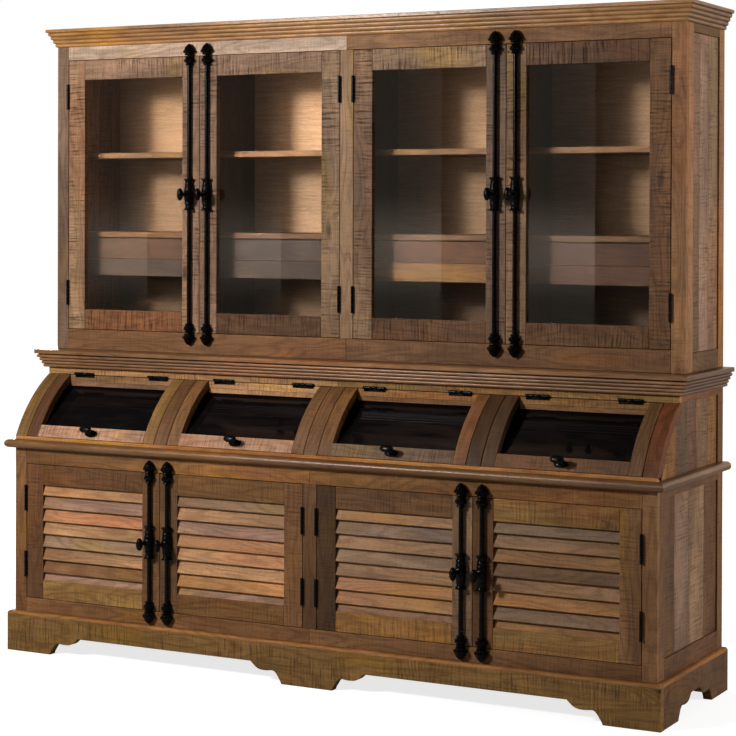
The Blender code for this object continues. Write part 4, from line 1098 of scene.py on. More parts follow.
class Workshop:
    """Holds the finishes that the sub-assemblies use."""

    def __init__(self) -> None:
        """Builds the shared effects once and every finish from them."""
        effects = {"grain": Grain().effect(), "saw_marks": SawMarks().effect(),
                   "edge_wear_and_light": EdgeWearAndLight().effect()}
        self.wood = WoodRecipe("mango_boards").made(effects)
        self.moulding = WoodRecipe("mango_mouldings", figure=0.35, saw_strength=0.6, wear=0.6, roughness=0.34,
                                   specular=0.32).made(effects)
        self.plywood = WoodRecipe("pale_ply", slot=Slot.PLYWOOD, figure=0.12, drift=0.25, saw_strength=0.0,
                                  wear=0.1, roughness=0.6, bump=0.15).made(effects)
        self.iron = IronRecipe().made()
        self.glass = GlassRecipe().made()
        self.dark_glass = DarkGlassRecipe().made()


@dataclass
class EdgeMoulding:
    """A moulding that runs round the front and both sides and mitres at the corners."""

    carcass: Carcass
    depth: float
    stains: tuple[Stain, Stain, Stain] = (Tone.WALNUT, Tone.GOLD, Tone.CHESTNUT)
    sawn: float = 0.25

    def runs(self, piece: Joinery, section: Array, worn: Array | None = None) -> None:
        """Adds the left, front and right run of a section.

        Args:
            piece: The piece that the runs belong to.
            section: Closed outline of (projection, height) points.
            worn: Wear of each point of the section, with any painted highlight or painted groove shade.
        """
        c = self.carcass
        back, front = c.y_at(0.0), c.y_at(self.depth)
        left, right = np.array([-1.0, 0.0, 0.0]), np.array([1.0, 0.0, 0.0])
        front_left, front_right = np.array([-1.0, -1.0, 0.0]), np.array([1.0, -1.0, 0.0])
        ups = np.tile(UNIT[Z], (2, 1))
        paths = (
            ((-c.half, back), left, (-c.half, front), front_left),
            ((-c.half, front), front_left, (c.half, front), front_right),
            ((c.half, front), front_right, (c.half, back), right),
        )
        for (start, first, end, last), stain in zip(paths, self.stains):
            bases = np.array([(*start, 0.0), (*end, 0.0)])
            piece.add(carried(section, bases, np.array([first, last]), ups, worn=worn), stain, self.sawn)


@dataclass
class ToppedMoulding(EdgeMoulding):
    """A moulding whose top is closed by boards, with a board behind it at the back."""

    wall: float = 0.030
    top_board: float = 0.018
    name: str = ""
    node: str = ""
    cuts: tuple[float, ...] = ()
    top_sawn: float = FINE_SAWN

    def section(self, z0: float, z1: float) -> tuple[Array, Array]:
        """The outline between a foot and a top, and the wear and painted light of its points."""
        raise NotImplementedError

    def build(self, shop: Workshop) -> None:
        """Builds the moulding, its top boards, split at the cuts, and its back board.

        Args:
            shop: The finishes.
        """
        c = self.carcass
        z0, z1 = c.levels(self.node)
        piece = Joinery(self.name)
        self.runs(piece, *self.section(z0, z1))
        inner = c.half - self.wall - SEAM
        for left, right in zip((-inner, *(cut + SEAM for cut in self.cuts)), (*self.cuts, inner)):
            piece.add(board((left, right), c.y_span(0.0, self.depth - self.wall - SEAM),
                            (z1 - self.top_board, z1), X), Tone.WALNUT, self.top_sawn)
        piece.add(board((-inner, inner), c.y_span(0.0, self.wall), (z0, z1 - self.top_board - SEAM), X),
                  Tone.UMBER, SAWN)
        piece.finish(shop.moulding, (self.node,))


@dataclass
class Crown(ToppedMoulding):
    """The crown on top of the hutch: a flat fascia over four reeds that step in."""

    name: str = "crown"
    node: str = "crown_moulding"
    cuts: tuple[float, ...] = (-0.41, 0.36)
    top_sawn: float = 0.5
    projection: float = 0.032
    fascia: float = 0.012
    reeds: int = 4
    reed_round: float = 0.0075
    nick: float = 0.0016
    rounding: float = 0.0015

    def section(self, z0: float, z1: float) -> tuple[Array, Array]:
        """Works out the crown's outline, and its wear with a painted highlight on the reeds.

        A reed rises as a quarter round, out = step * sin(a) and up = round * (1 - cos(a)), then stands
        upright to a small nick under the next one.

        Args:
            z0: Its foot.
            z1: Its top.

        Returns:
            The outline of (projection, height) points, and the wear of each, partly a painted highlight on
            the reeds' crests.
        """
        rise = (z1 - z0 - self.fascia) / self.reeds
        step = self.projection / (self.reeds + 1)
        angles = np.linspace(0.0, math.pi / 2, 6)
        out = np.concatenate([step * np.sin(angles), [step, step - self.nick]])
        nicked = [rise - 2 * self.nick, rise - self.nick / 2]
        up = np.concatenate([self.reed_round * (1.0 - np.cos(angles)), nicked])
        # Lighter on each reed's crest: rubbed wear and partly a painted highlight.
        rub = np.array([0.0, 0.0, 0.1, 0.5, 0.9, 0.8, 0.5, 0.0])
        numbers = np.arange(self.reeds)[:, None]
        outline = np.stack([(numbers * step + out).ravel(), (z0 + numbers * rise + up).ravel()], -1)
        head = z0 + self.reeds * rise
        cap = np.array([
            (self.projection, head + self.nick), (self.projection, z1 - self.rounding),
            (self.projection - self.rounding, z1), (-self.wall, z1), (-self.wall, z0),
        ])
        worn = np.concatenate([np.tile(rub, self.reeds), [0.7, 0.8, 0.8, 0.0, 0.0]])
        return np.vstack([outline, cap]), worn


@dataclass
class Waist(ToppedMoulding):
    """The waist under the hutch: a fascia over four reeds that step in towards the bins."""

    name: str = "waist"
    node: str = "waist_moulding"
    cuts: tuple[float, ...] = (0.12,)
    projection: float = 0.038
    fascia: float = 0.0145
    step: float = 0.0035
    reed_reach: tuple[float, ...] = (0.0315, 0.0250, 0.0195, 0.0150)
    reed_turn: float = 78.0
    bulge: float = 0.0048
    foot: float = 0.001
    rounding: float = 0.002

    def section(self, z0: float, z1: float) -> tuple[Array, Array]:
        """Works out the waist's outline, and its painted highlights and painted shade.

        Each reed is half an ellipse: out = reach - bulge * (1 - cos(a)) and up = middle + height / 2 *
        sin(a).

        Args:
            z0: Its foot.
            z1: Its top.

        Returns:
            The outline of (projection, height) points, and for each a painted highlight on the reeds' bellies
            or painted shade in the grooves between them.
        """
        p, r = self.projection, self.rounding
        fascia_foot = z1 - self.fascia
        reeds_top = fascia_foot - self.step
        height = (reeds_top - z0 - self.foot) / len(self.reed_reach)
        # Painted highlight on each reed's belly, and painted shade, below 0, in the grooves between reeds.
        rub = np.array([-1.0, -0.3, 0.3, 0.8, 1.0, 0.6, 0.0, -0.6, -1.0])
        angles = np.radians(np.linspace(self.reed_turn, -self.reed_turn, len(rub)))
        reeds = [np.stack([reach - self.bulge * (1.0 - np.cos(angles)),
                           reeds_top - (number + 0.5) * height + height / 2 * np.sin(angles)], -1)
                 for number, reach in enumerate(self.reed_reach)]
        outline = np.vstack([
            [(-self.wall, z1), (p - r, z1), (p, z1 - r), (p, fascia_foot + r / 2), (p - r / 2, fascia_foot),
             (self.reed_reach[0] - self.bulge, fascia_foot)],
            *reeds, [(0.0, z0 + self.foot), (0.0, z0), (-self.wall, z0)],
        ])
        # The fascia's rounded edge is lighter, partly wear and partly painted highlight; the grooves under it
        # and at the foot get painted shade.
        worn = np.concatenate([[0.0, 0.7, 0.9, 0.6, 0.0, -1.0], np.tile(rub, len(self.reed_reach)),
                               [-0.6, 0.0, 0.0]])
        return outline, worn


@dataclass
class Ledge(EdgeMoulding):
    """The counter ledge with its half-round nose."""

    projection: float = 0.029
    nose_steps: int = 12
    rub: float = 0.75
    wear_and_highlight_lean: float = 0.9
    wall: float = 0.060
    boards: int = 4

    def section(self, z0: float, z1: float) -> tuple[Array, Array]:
        """Works out the ledge's outline: a half round from the top to the underside, and its wear with a
        painted highlight.

        Args:
            z0: Its underside.
            z1: Its top.

        Returns:
            The outline of (projection, height) points, and the wear of each, partly a painted highlight on
            the nose.
        """
        radius = (z1 - z0) / 2
        angles = math.pi / 2 - math.pi * np.arange(self.nose_steps + 1) / self.nose_steps
        out, up = self.projection - radius, z0 + radius
        nose = np.stack([out + radius * np.cos(angles), up + radius * np.sin(angles)], -1)
        outline = np.vstack([nose, [(-self.wall, z0), (-self.wall, z1)]])
        # Lighter towards the nose's upper front: rubbed wear and partly a painted highlight.
        rubbed = self.rub * np.maximum(np.sin(angles + self.wear_and_highlight_lean), 0.0) ** 4
        worn = np.concatenate([rubbed, [0.0, 0.0]])
        return outline, worn

    def build(self, shop: Workshop) -> None:
        """Builds the nosing and the boards of the counter behind it.

        Args:
            shop: The finishes.
        """
        c = self.carcass
        z0, z1 = c.levels("counter_ledge")
        piece = Joinery("counter")
        self.runs(piece, *self.section(z0, z1))
        inner = c.half - self.wall - SEAM
        cuts = np.linspace(0.0, self.depth - self.wall - SEAM, self.boards + 1)
        for near, far in zip(cuts[:-1], cuts[1:]):
            plank = board((-inner, inner), c.y_span(near + SEAM, far), (z0, z1), X)
            piece.add(plank, Tone.CHESTNUT, FINE_SAWN)
        piece.finish(shop.moulding, ("counter_ledge",))


@dataclass
class Plinth(EdgeMoulding):
    """The plinth: scalloped aprons between bracket feet, under a rounded top edge."""

    projection: float = 0.020
    thickness: float = 0.030
    cap: float = 0.010
    foot: float = 0.185
    centre_foot: float = 0.190
    side_front_foot: float = 0.128
    side_back_foot: float = 0.155
    aprons_sawn: Triple = (0.75, 0.7, 0.6)
    scallop: tuple[Span, ...] = (
        (0.0, 0.0), (0.0035, 0.009), (0.010, 0.019), (0.0186, 0.032), (0.0290, 0.0405), (0.040, 0.0412),
        (0.0566, 0.0392), (0.0790, 0.0400), (0.0960, 0.0460), (0.1070, 0.0550), (0.1176, 0.0645),
    )

    def apron_edge(self, left_foot: float, right_foot: float) -> Array:
        """Underside of an apron between two feet, left to right, as a smooth ogee at each end.

        Args:
            left_foot: Where the left foot ends.
            right_foot: Where the right foot starts.

        Returns:
            The edge's points.
        """
        curve = smooth_profile(self.scallop, 3)
        left = curve + (left_foot, 0.0)
        right = curve[::-1] * (-1.0, 1.0) + (right_foot, 0.0)
        return np.vstack([left, right])

    def front_outline(self, half: float, top: float) -> Array:
        """Outline of the front apron, as (X, height) points.

        Args:
            half: Half its width.
            top: Its top.

        Returns:
            The closed outline.
        """
        outer, inner = half - self.foot, self.centre_foot / 2
        return np.vstack([[(-half, 0.0)], self.apron_edge(-outer, -inner), self.apron_edge(inner, outer),
                          [(half, 0.0), (half, top), (-half, top)]])

    def side_outline(self, depth: float, top: float) -> Array:
        """Outline of a side apron, as (depth, height) points."""
        edge = self.apron_edge(self.side_back_foot, depth - self.side_front_foot)
        return np.vstack([[(0.0, 0.0)], edge, [(depth, 0.0), (depth, top), (0.0, top)]])

    def build(self, shop: Workshop) -> None:
        """Builds the aprons, the back board and the rounded cap round three sides.

        Args:
            shop: The finishes.
        """
        c = self.carcass
        top = c.levels("plinth")[1]
        half, depth = c.half + self.projection, self.depth + self.projection
        apron_top = top - self.cap - SEAM
        piece = Joinery("plinth_boards")
        outline = self.front_outline(half, apron_top)
        piece.add(sawn_board(outline, c.y_span(depth, depth - self.thickness), UNIT[X], UNIT[Z], UNIT[Y]),
                  Tone.OLIVE.at(0.78), self.aprons_sawn[0])
        run = depth - self.thickness - SEAM
        side = self.side_outline(run, apron_top)
        for sign in (-1, 1):
            faces = (sign * half, sign * (half - self.thickness))
            shell = sawn_board(side, faces, -UNIT[Y], UNIT[Z], UNIT[X])
            shell.points += (0.0, c.back_y, 0.0)
            piece.add(shell, Tone.WALNUT, self.aprons_sawn[1])
        outline[:, 0] = np.clip(outline[:, 0], SEAM - half + self.thickness, half - self.thickness - SEAM)
        piece.add(sawn_board(outline, c.y_span(0.0, self.thickness), UNIT[X], UNIT[Z], UNIT[Y]),
                  Tone.UMBER, self.aprons_sawn[2])
        angles = np.linspace(0.0, math.pi / 2, 7)
        nose = np.stack([self.projection - self.cap + self.cap * np.cos(angles),
                         top - self.cap + self.cap * np.sin(angles)], -1)
        wall = self.projection - self.thickness
        section = np.vstack([nose, [(wall, top), (wall, top - self.cap)]])
        # The cap's rounded top edge is lighter: rubbed wear and partly a painted highlight.
        worn = np.concatenate([[0.1, 0.3, 0.7, 0.9, 0.9, 0.7, 0.5], [0.0, 0.0]])
        self.runs(piece, section, worn)
        piece.finish(shop.wood, ("plinth",))


def add_panel(piece: Joinery, carcass: Carcass, sign: int, run: Span, shares: Sequence[float],
              heights: Span, stains: Sequence[Stain]) -> None:
    """Adds the recessed upright boards of a framed end.

    Args:
        piece: The piece that they belong to.
        carcass: The carcass.
        sign: -1 for the left end and 1 for the right.
        run: Depths between which they stand.
        shares: Where the run is split, as shares of it.
        heights: Their foot and top.
        stains: Their stains, from the back.
    """
    edges = [run[0] + (run[1] - run[0]) * share for share in (0.0, *shares, 1.0)]
    faces = (sign * (carcass.half - carcass.recess), sign * carcass.inner)
    for near, far, stain in zip(edges[:-1], edges[1:], stains):
        piece.add(board(faces, carcass.y_span(near + SEAM, far - SEAM), heights, Z), stain, ROUGH_SAWN)


@dataclass
class FramedSide:
    """The framed panel that closes each end of a carcass, with the face frame in front of it."""

    carcass: Carcass
    depth: float
    z0: float
    z1: float
    front_stile: float = 0.066
    back_stile: float = 0.049
    top_rail: float = 0.0275
    bottom_rail: float = 0.060
    panels: tuple[float, ...] = (0.36, 0.70)

    def build(self, piece: Joinery, sign: int, stains: Sequence[Stain]) -> None:
        """Adds one side.

        Args:
            piece: The piece that it belongs to.
            sign: -1 for the left side and 1 for the right.
            stains: Stains of the front stile, back stile, top rail, bottom rail and the panel's boards.
        """
        c = self.carcass
        faces = (sign * c.half, sign * c.inner)
        front, back = self.depth - self.front_stile, self.back_stile
        rail_y = c.y_span(back + SEAM, front - SEAM)
        low, high = self.z0 + self.bottom_rail, self.z1 - self.top_rail
        near = self.depth - c.face - SEAM
        piece.add(board(faces, c.y_span(front, near), (self.z0, self.z1), Z), stains[0], FINE_SAWN)
        piece.add(board(faces, c.y_span(0.0, back), (self.z0, self.z1), Z), stains[1], SAWN)
        piece.add(board(faces, rail_y, (high, self.z1), Y), stains[2], SAWN)
        piece.add(board(faces, rail_y, (self.z0, low), Y), stains[3], SAWN)
        add_panel(piece, c, sign, (back, front), self.panels, (low + SEAM, high - SEAM), stains[4:])


@dataclass
class FaceFrame:
    """The stiles, mullion and rails round two door openings."""

    carcass: Carcass
    depth: float
    z0: float
    z1: float
    door_z0: float
    door_z1: float
    mullion_sawn: float = 0.25

    def build(self, piece: Joinery, stains: Sequence[Stain]) -> None:
        """Adds the frame's boards.

        Args:
            piece: The piece that they belong to.
            stains: Stains of the left stile, right stile and mullion, then of the left bay's top and bottom
                rail and the right bay's.
        """
        c = self.carcass
        y = c.y_span(self.depth, self.depth - c.face)
        edge, middle = c.half - c.stile, c.mullion / 2
        piece.add(board((-c.half, -edge - SEAM), y, (self.z0, self.z1), Z), stains[0], FINE_SAWN)
        piece.add(board((edge + SEAM, c.half), y, (self.z0, self.z1), Z), stains[1], FINE_SAWN)
        mullion = board((-middle, middle), y, (self.door_z0 + SEAM, self.door_z1 - SEAM), Z)
        piece.add(mullion, stains[2], self.mullion_sawn)
        for sign, top, bottom in ((-1, *stains[3:5]), (1, *stains[5:7])):
            ends = (sign * SEAM / 2, sign * edge)
            piece.add(board(ends, y, (self.door_z1, self.z1), X), top, FINE_SAWN)
            piece.add(board(ends, y, (self.z0, self.door_z0), X), bottom, FINE_SAWN)


@dataclass
class ButtHinge:
    """A narrow butt hinge of three knuckles, seen as a black strip in the gap beside a door."""

    length: float = 0.090
    radius: float = 0.005
    gap: float = 0.0005
    soft_share: float = 0.18

    def knuckles(self, start: Array, axis: Array, moving: bool) -> list[Shell]:
        """Turns the knuckles that move with the leaf, or those that stay.

        Args:
            start: One end of the hinge's axis.
            axis: Unit vector along it.
            moving: True for the middle knuckle.

        Returns:
            The knuckles.
        """
        third = (self.length - 2 * self.gap) / 3
        r, soft = self.radius, self.radius * self.soft_share
        heights = np.array([0.0, soft, third - soft, third])
        radii = np.array([r - soft, r, r, r - soft])
        return [lathe(heights, radii, start + axis * place * (third + self.gap), axis, sides=16)
                for place in ((1,) if moving else (0, 2))]


def casting_profile(points: Sequence[Span], swells: Sequence[float]) -> tuple[Array, Array, Array]:
    """Smooths a casting's profile and spreads the swells of its points over the finer rings.

    Args:
        points: Its (height, radius) points.
        swells: How much it swells at each.

    Returns:
        Heights, radii and swells of the rings.
    """
    profile = smooth_profile(points, 2)
    shares = np.linspace(0.0, 1.0, len(swells))
    return profile[:, 0], profile[:, 1], np.interp(np.linspace(0.0, 1.0, len(profile)), shares, swells)


def oval_head(half: Triple, centre: Array, axis: Array) -> Shell:
    """Makes the oval head of a knob, square to its stem.

    Ring a lies at -cos(a) along the axis, and its half width and half height follow sin(a), squared off a
    little by a power of 0.8.

    Args:
        half: Half its width, height and thickness.
        centre: Its middle.
        axis: Unit vector along its stem.

    Returns:
        The head.
    """
    wide, high, deep = half
    blunt, square = 0.12, 0.8
    angles = np.linspace(blunt, math.pi - blunt, 15)
    radii = wide * np.sin(angles) ** square
    return lathe(-deep * np.cos(angles), radii, centre, axis, sides=28, flatten=high / wide)


@dataclass
class Leaf:
    """Where one hinged door lies."""

    name: str
    x0: float
    x1: float
    z0: float
    z1: float
    depth: float
    hinge_x: float
    away: int
    hinge_inset: float
    stile: float = 0.070

    @property
    def bolt_x(self) -> float:
        """X of the cremone rods."""
        return (self.x1 if self.away > 0 else self.x0) - self.away * self.stile / 2

    @property
    def middle_z(self) -> float:
        """Height of the cremone case's centre."""
        return (self.z0 + self.z1) / 2


def door_leaves(carcass: Carcass, prefix: str, depth: float, opening: Span, hinge_inset: float) -> list[Leaf]:
    """Lists the four doors of a row, left to right, in two pairs that meet at the middle of each bay.

    Args:
        carcass: The carcass that they close.
        prefix: Start of their names.
        depth: Depth of their front faces.
        opening: Foot and top of the openings.
        hinge_inset: Distance of the hinges from the doors' ends.

    Returns:
        The doors' places.
    """
    leaves: list[Leaf] = []
    gap = carcass.door_gap
    for bay in (-1, 1):
        middle = bay * carcass.bay_middle
        for away in (1, -1):
            outer = middle - away * carcass.bay_width / 2
            ends = sorted((outer + away * gap, middle - away * gap / 2))
            leaves.append(Leaf(f"{prefix}_{len(leaves) + 1}", *ends, opening[0] + gap, opening[1] - gap,
                               depth, outer + away * gap / 2, away, hinge_inset))
    return leaves


@dataclass
class CremoneBolt:
    """A black cremone bolt: case with an oval knob, two rods, guides on the door and keepers on the rails."""

    carcass: Carcass
    leaf: Leaf
    offset: float = 0.010
    rod_radius: float = 0.0068
    rod_inner_end: float = 0.008
    rod_end_clearance: float = 0.001
    rod_tip: Span = (0.0015, 0.0012)
    setback: float = 0.001
    knob_reach: float = 0.057
    knob_half: Triple = (0.0110, 0.0215, 0.0116)
    stem: tuple[Span, ...] = (
        (0.0172, 0.0074), (0.0210, 0.0080), (0.0250, 0.0060), (0.0330, 0.0050), (0.0420, 0.0058),
        (0.0490, 0.0080),
    )
    rosette: tuple[Triple, ...] = (
        (0.004, 0.0150, 0.0), (0.0150, 0.0150, 0.10), (0.0175, 0.0140, 0.12), (0.0200, 0.0115, 0.08),
        (0.0215, 0.0078, 0.0), (0.0217, 0.0066, 0.0),
    )
    case: tuple[Span, ...] = (
        (0.0550, 0.0145), (0.0545, 0.0180), (0.0515, 0.0178), (0.0495, 0.0150), (0.0440, 0.0128),
        (0.0380, 0.0132), (0.0330, 0.0150), (0.0280, 0.0146), (0.0235, 0.0150), (0.0190, 0.0162),
        (0.0, 0.0168),
    )
    case_swell: float = 0.04
    guide_height: float = 0.033
    guide: tuple[Span, ...] = (
        (0.0, 0.0100), (0.0015, 0.0135), (0.0045, 0.0125), (0.0075, 0.0108), (0.0110, 0.0150),
        (0.0160, 0.0182), (0.0210, 0.0178), (0.0250, 0.0140), (0.0275, 0.0122), (0.0305, 0.0152),
        (0.0328, 0.0140),
    )
    guide_swell: tuple[float, ...] = (0.0, 0.05, 0.05, 0.0, 0.12, 0.15, 0.15, 0.08, 0.0, 0.05, 0.05)
    keeper: tuple[Span, ...] = (
        (0.0, 0.0145), (0.0015, 0.0160), (0.0045, 0.0150), (0.0070, 0.0165), (0.0100, 0.0212),
        (0.0135, 0.0222), (0.0175, 0.0198), (0.0220, 0.0168), (0.0260, 0.0158), (0.0300, 0.0132),
        (0.0345, 0.0094), (0.0385, 0.0054), (0.0408, 0.0012),
    )
    keeper_swell: tuple[float, ...] = (
        0.0, 0.05, 0.0, 0.10, 0.15, 0.15, 0.10, 0.10, 0.10, 0.05, 0.0, 0.0, 0.0,
    )
    keeper_tip: float = 0.0004

    @property
    def axis(self) -> Array:
        """Middle of the bolt, on the rods' axis."""
        y = self.carcass.y_at(self.leaf.depth) - self.offset
        return np.array([self.leaf.bolt_x, y, self.leaf.middle_z])

    def add_case(self, piece: Joinery) -> None:
        """Adds the case, its rosette and the two guides to the door's ironwork.

        Args:
            piece: The door's ironwork.
        """
        half = smooth_profile(self.case, 3)
        profile = np.vstack([half, half[-2::-1] * (-1.0, 1.0)])
        swell = np.full(len(profile), self.case_swell)
        piece.add(lathe(profile[:, 0], profile[:, 1], self.axis, UNIT[Z], lobes=4, swell=swell))
        heights, radii, swell = np.array(self.rosette).T
        piece.add(lathe(heights, radii, self.axis, -UNIT[Y], lobes=6, swell=swell))
        heights, radii, swell = casting_profile(self.guide, self.guide_swell)
        for edge, direction in ((self.leaf.z1, 1), (self.leaf.z0, -1)):
            foot = np.array([*self.axis[:2], edge - direction * self.guide_height])
            piece.add(lathe(heights, radii, foot, direction * UNIT[Z], lobes=4, swell=swell))

    def add_keepers(self, piece: Joinery, opening: Span) -> None:
        """Adds the acorn-shaped keepers above and below the door.

        Args:
            piece: The cabinet's ironwork.
            opening: Foot and top of the door opening.
        """
        heights, radii, swell = casting_profile(self.keeper, self.keeper_swell)
        radii = np.maximum(radii, self.keeper_tip)
        for edge, direction in ((opening[1], 1), (opening[0], -1)):
            foot = np.array([*self.axis[:2], edge + direction * self.setback])
            piece.add(lathe(heights, radii, foot, direction * UNIT[Z], lobes=4, swell=swell))

    def build_moving(self, shop: Workshop) -> None:
        """Builds the knob and the two rods, each on its own body.

        Args:
            shop: The finishes.
        """
        name = self.leaf.name
        stem = smooth_profile(self.stem, 3)
        knob = Joinery(f"{name}_oval_knob", f"{name}_knob")
        knob.add(lathe(stem[:, 0], stem[:, 1], self.axis, -UNIT[Y], sides=20))
        knob.add(oval_head(self.knob_half, self.axis - UNIT[Y] * self.knob_reach, UNIT[Y]))
        knob.finish(shop.iron, (f"{name}_knob",), sharp=60.0)
        for direction, end, label in ((1, self.leaf.z1, "upper"), (-1, self.leaf.z0, "lower")):
            length = abs(end - direction * self.rod_end_clearance - self.axis[2])
            heights = np.array([self.rod_inner_end, length - self.rod_tip[0], length])
            radii = self.rod_radius - np.array([0.0, 0.0, self.rod_tip[1]])
            rod = Joinery(f"{name}_{label}_rod_bar", f"{name}_{label}_rod")
            rod.add(lathe(heights, radii, self.axis, direction * UNIT[Z], sides=16))
            rod.finish(shop.iron, (f"{name}_{label}_rod",))


@dataclass
class GlazedDoor:
    """A glazed door of the hutch: two stiles, two rails, the pane and the bolt."""

    carcass: Carcass
    leaf: Leaf
    thickness: float = 0.024
    rail: float = 0.070
    stains: tuple[Stain, ...] = (Tone.SMOKE, Tone.MAUVE, Tone.SMOKE, Tone.WALNUT)
    sawn: float = 0.95

    def frame_boards(self, piece: Joinery, foot: float) -> None:
        """Adds the stiles and the rails.

        Args:
            piece: The door's woodwork.
            foot: Height of the bottom rail.
        """
        c, leaf = self.carcass, self.leaf
        y = c.y_span(leaf.depth, leaf.depth - self.thickness)
        left, right = leaf.x0 + leaf.stile, leaf.x1 - leaf.stile
        rail, height = (left + SEAM, right - SEAM), (leaf.z0, leaf.z1)
        parts = (
            board((leaf.x0, left), y, height, Z), board((right, leaf.x1), y, height, Z),
            board(rail, y, (leaf.z1 - self.rail, leaf.z1), X), board(rail, y, (leaf.z0, leaf.z0 + foot), X),
        )
        for shell, stain in zip(parts, self.stains):
            piece.add(shell, stain, self.sawn)

    def iron(self, shop: Workshop) -> None:
        """Builds the bolt's case and guides and the hinges' moving knuckles, on the door.

        Args:
            shop: The finishes.
        """
        c, leaf = self.carcass, self.leaf
        hinge = ButtHinge()
        piece = Joinery(f"{leaf.name}_ironwork", leaf.name)
        bolt = CremoneBolt(c, leaf)
        bolt.add_case(piece)
        for start in hinge_starts(c, leaf, hinge):
            for shell in hinge.knuckles(start, UNIT[Z], True):
                piece.add(shell)
        piece.finish(shop.iron, sharp=40.0)
        bolt.build_moving(shop)

    def build(self, shop: Workshop) -> None:
        """Builds the door.

        Args:
            shop: The finishes.
        """
        piece = Joinery(f"{self.leaf.name}_frame", self.leaf.name)
        self.frame_boards(piece, self.rail)
        piece.finish(shop.wood, (self.leaf.name,))
        self.iron(shop)
        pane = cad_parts[f"{self.leaf.name}_glass"]
        pane.data.materials.clear()
        pane.data.materials.append(shop.glass.material)


def hinge_starts(carcass: Carcass, leaf: Leaf, hinge: ButtHinge) -> list[Array]:
    """Lower end of each of a door's two hinges, on its axis.

    Args:
        carcass: The carcass.
        leaf: The door.
        hinge: The kind of hinge.

    Returns:
        One point for each hinge.
    """
    y = carcass.y_at(leaf.depth) - hinge.radius - hinge.gap
    heights = (leaf.z0 + leaf.hinge_inset, leaf.z1 - leaf.hinge_inset - hinge.length)
    return [np.array([leaf.hinge_x, y, z]) for z in heights]


@dataclass
class LouvredDoor(GlazedDoor):
    """A louvred door of the base: a frame round tilted slats."""

    foot: float = 0.065
    pitch: float = 0.045
    top_drop: float = 0.035
    slat_width: float = 0.048
    slat_thickness: float = 0.006
    tilt: float = math.radians(20.0)
    tenon: float = 0.003
    face_clearance: float = 0.0005
    slat_stains: tuple[Stain, ...] = (Tone.TAN,)
    slat_eased: float = 0.0018
    slat_sawn: float = 0.12
    sawn: float = ROUGH_SAWN

    def slats(self, piece: Joinery) -> None:
        """Adds the slats, each leaning back from its lower edge by the tilt.

        Args:
            piece: The door's woodwork.
        """
        c, leaf = self.carcass, self.leaf
        across = np.array([0.0, math.sin(self.tilt), math.cos(self.tilt)])
        through = np.array([0.0, math.cos(self.tilt), -math.sin(self.tilt)])
        axes = np.array([UNIT[X], across, -through])
        x0, x1 = leaf.x0 + leaf.stile - self.tenon, leaf.x1 - leaf.stile + self.tenon
        z0, z1 = leaf.z0 + self.foot, leaf.z1 - self.rail
        half = np.array([(x1 - x0) / 2, self.slat_width / 2, self.slat_thickness / 2])
        front = c.y_at(leaf.depth) + self.face_clearance
        count = math.ceil((z1 - self.top_drop - z0 + self.pitch / 2) / self.pitch)
        for number in range(count):
            lower = np.array([(x0 + x1) / 2, front, z1 - self.top_drop - number * self.pitch])
            centre = lower + across * half[1] + through * half[2]
            stain = self.slat_stains[number % len(self.slat_stains)]
            piece.add(placed_board(centre, half, axes, self.slat_eased), stain, self.slat_sawn)

    def build(self, shop: Workshop) -> None:
        """Builds the door.

        Args:
            shop: The finishes.
        """
        piece = Joinery(f"{self.leaf.name}_frame", self.leaf.name)
        self.frame_boards(piece, self.foot)
        self.slats(piece)
        piece.finish(shop.wood, (self.leaf.name,))
        self.iron(shop)


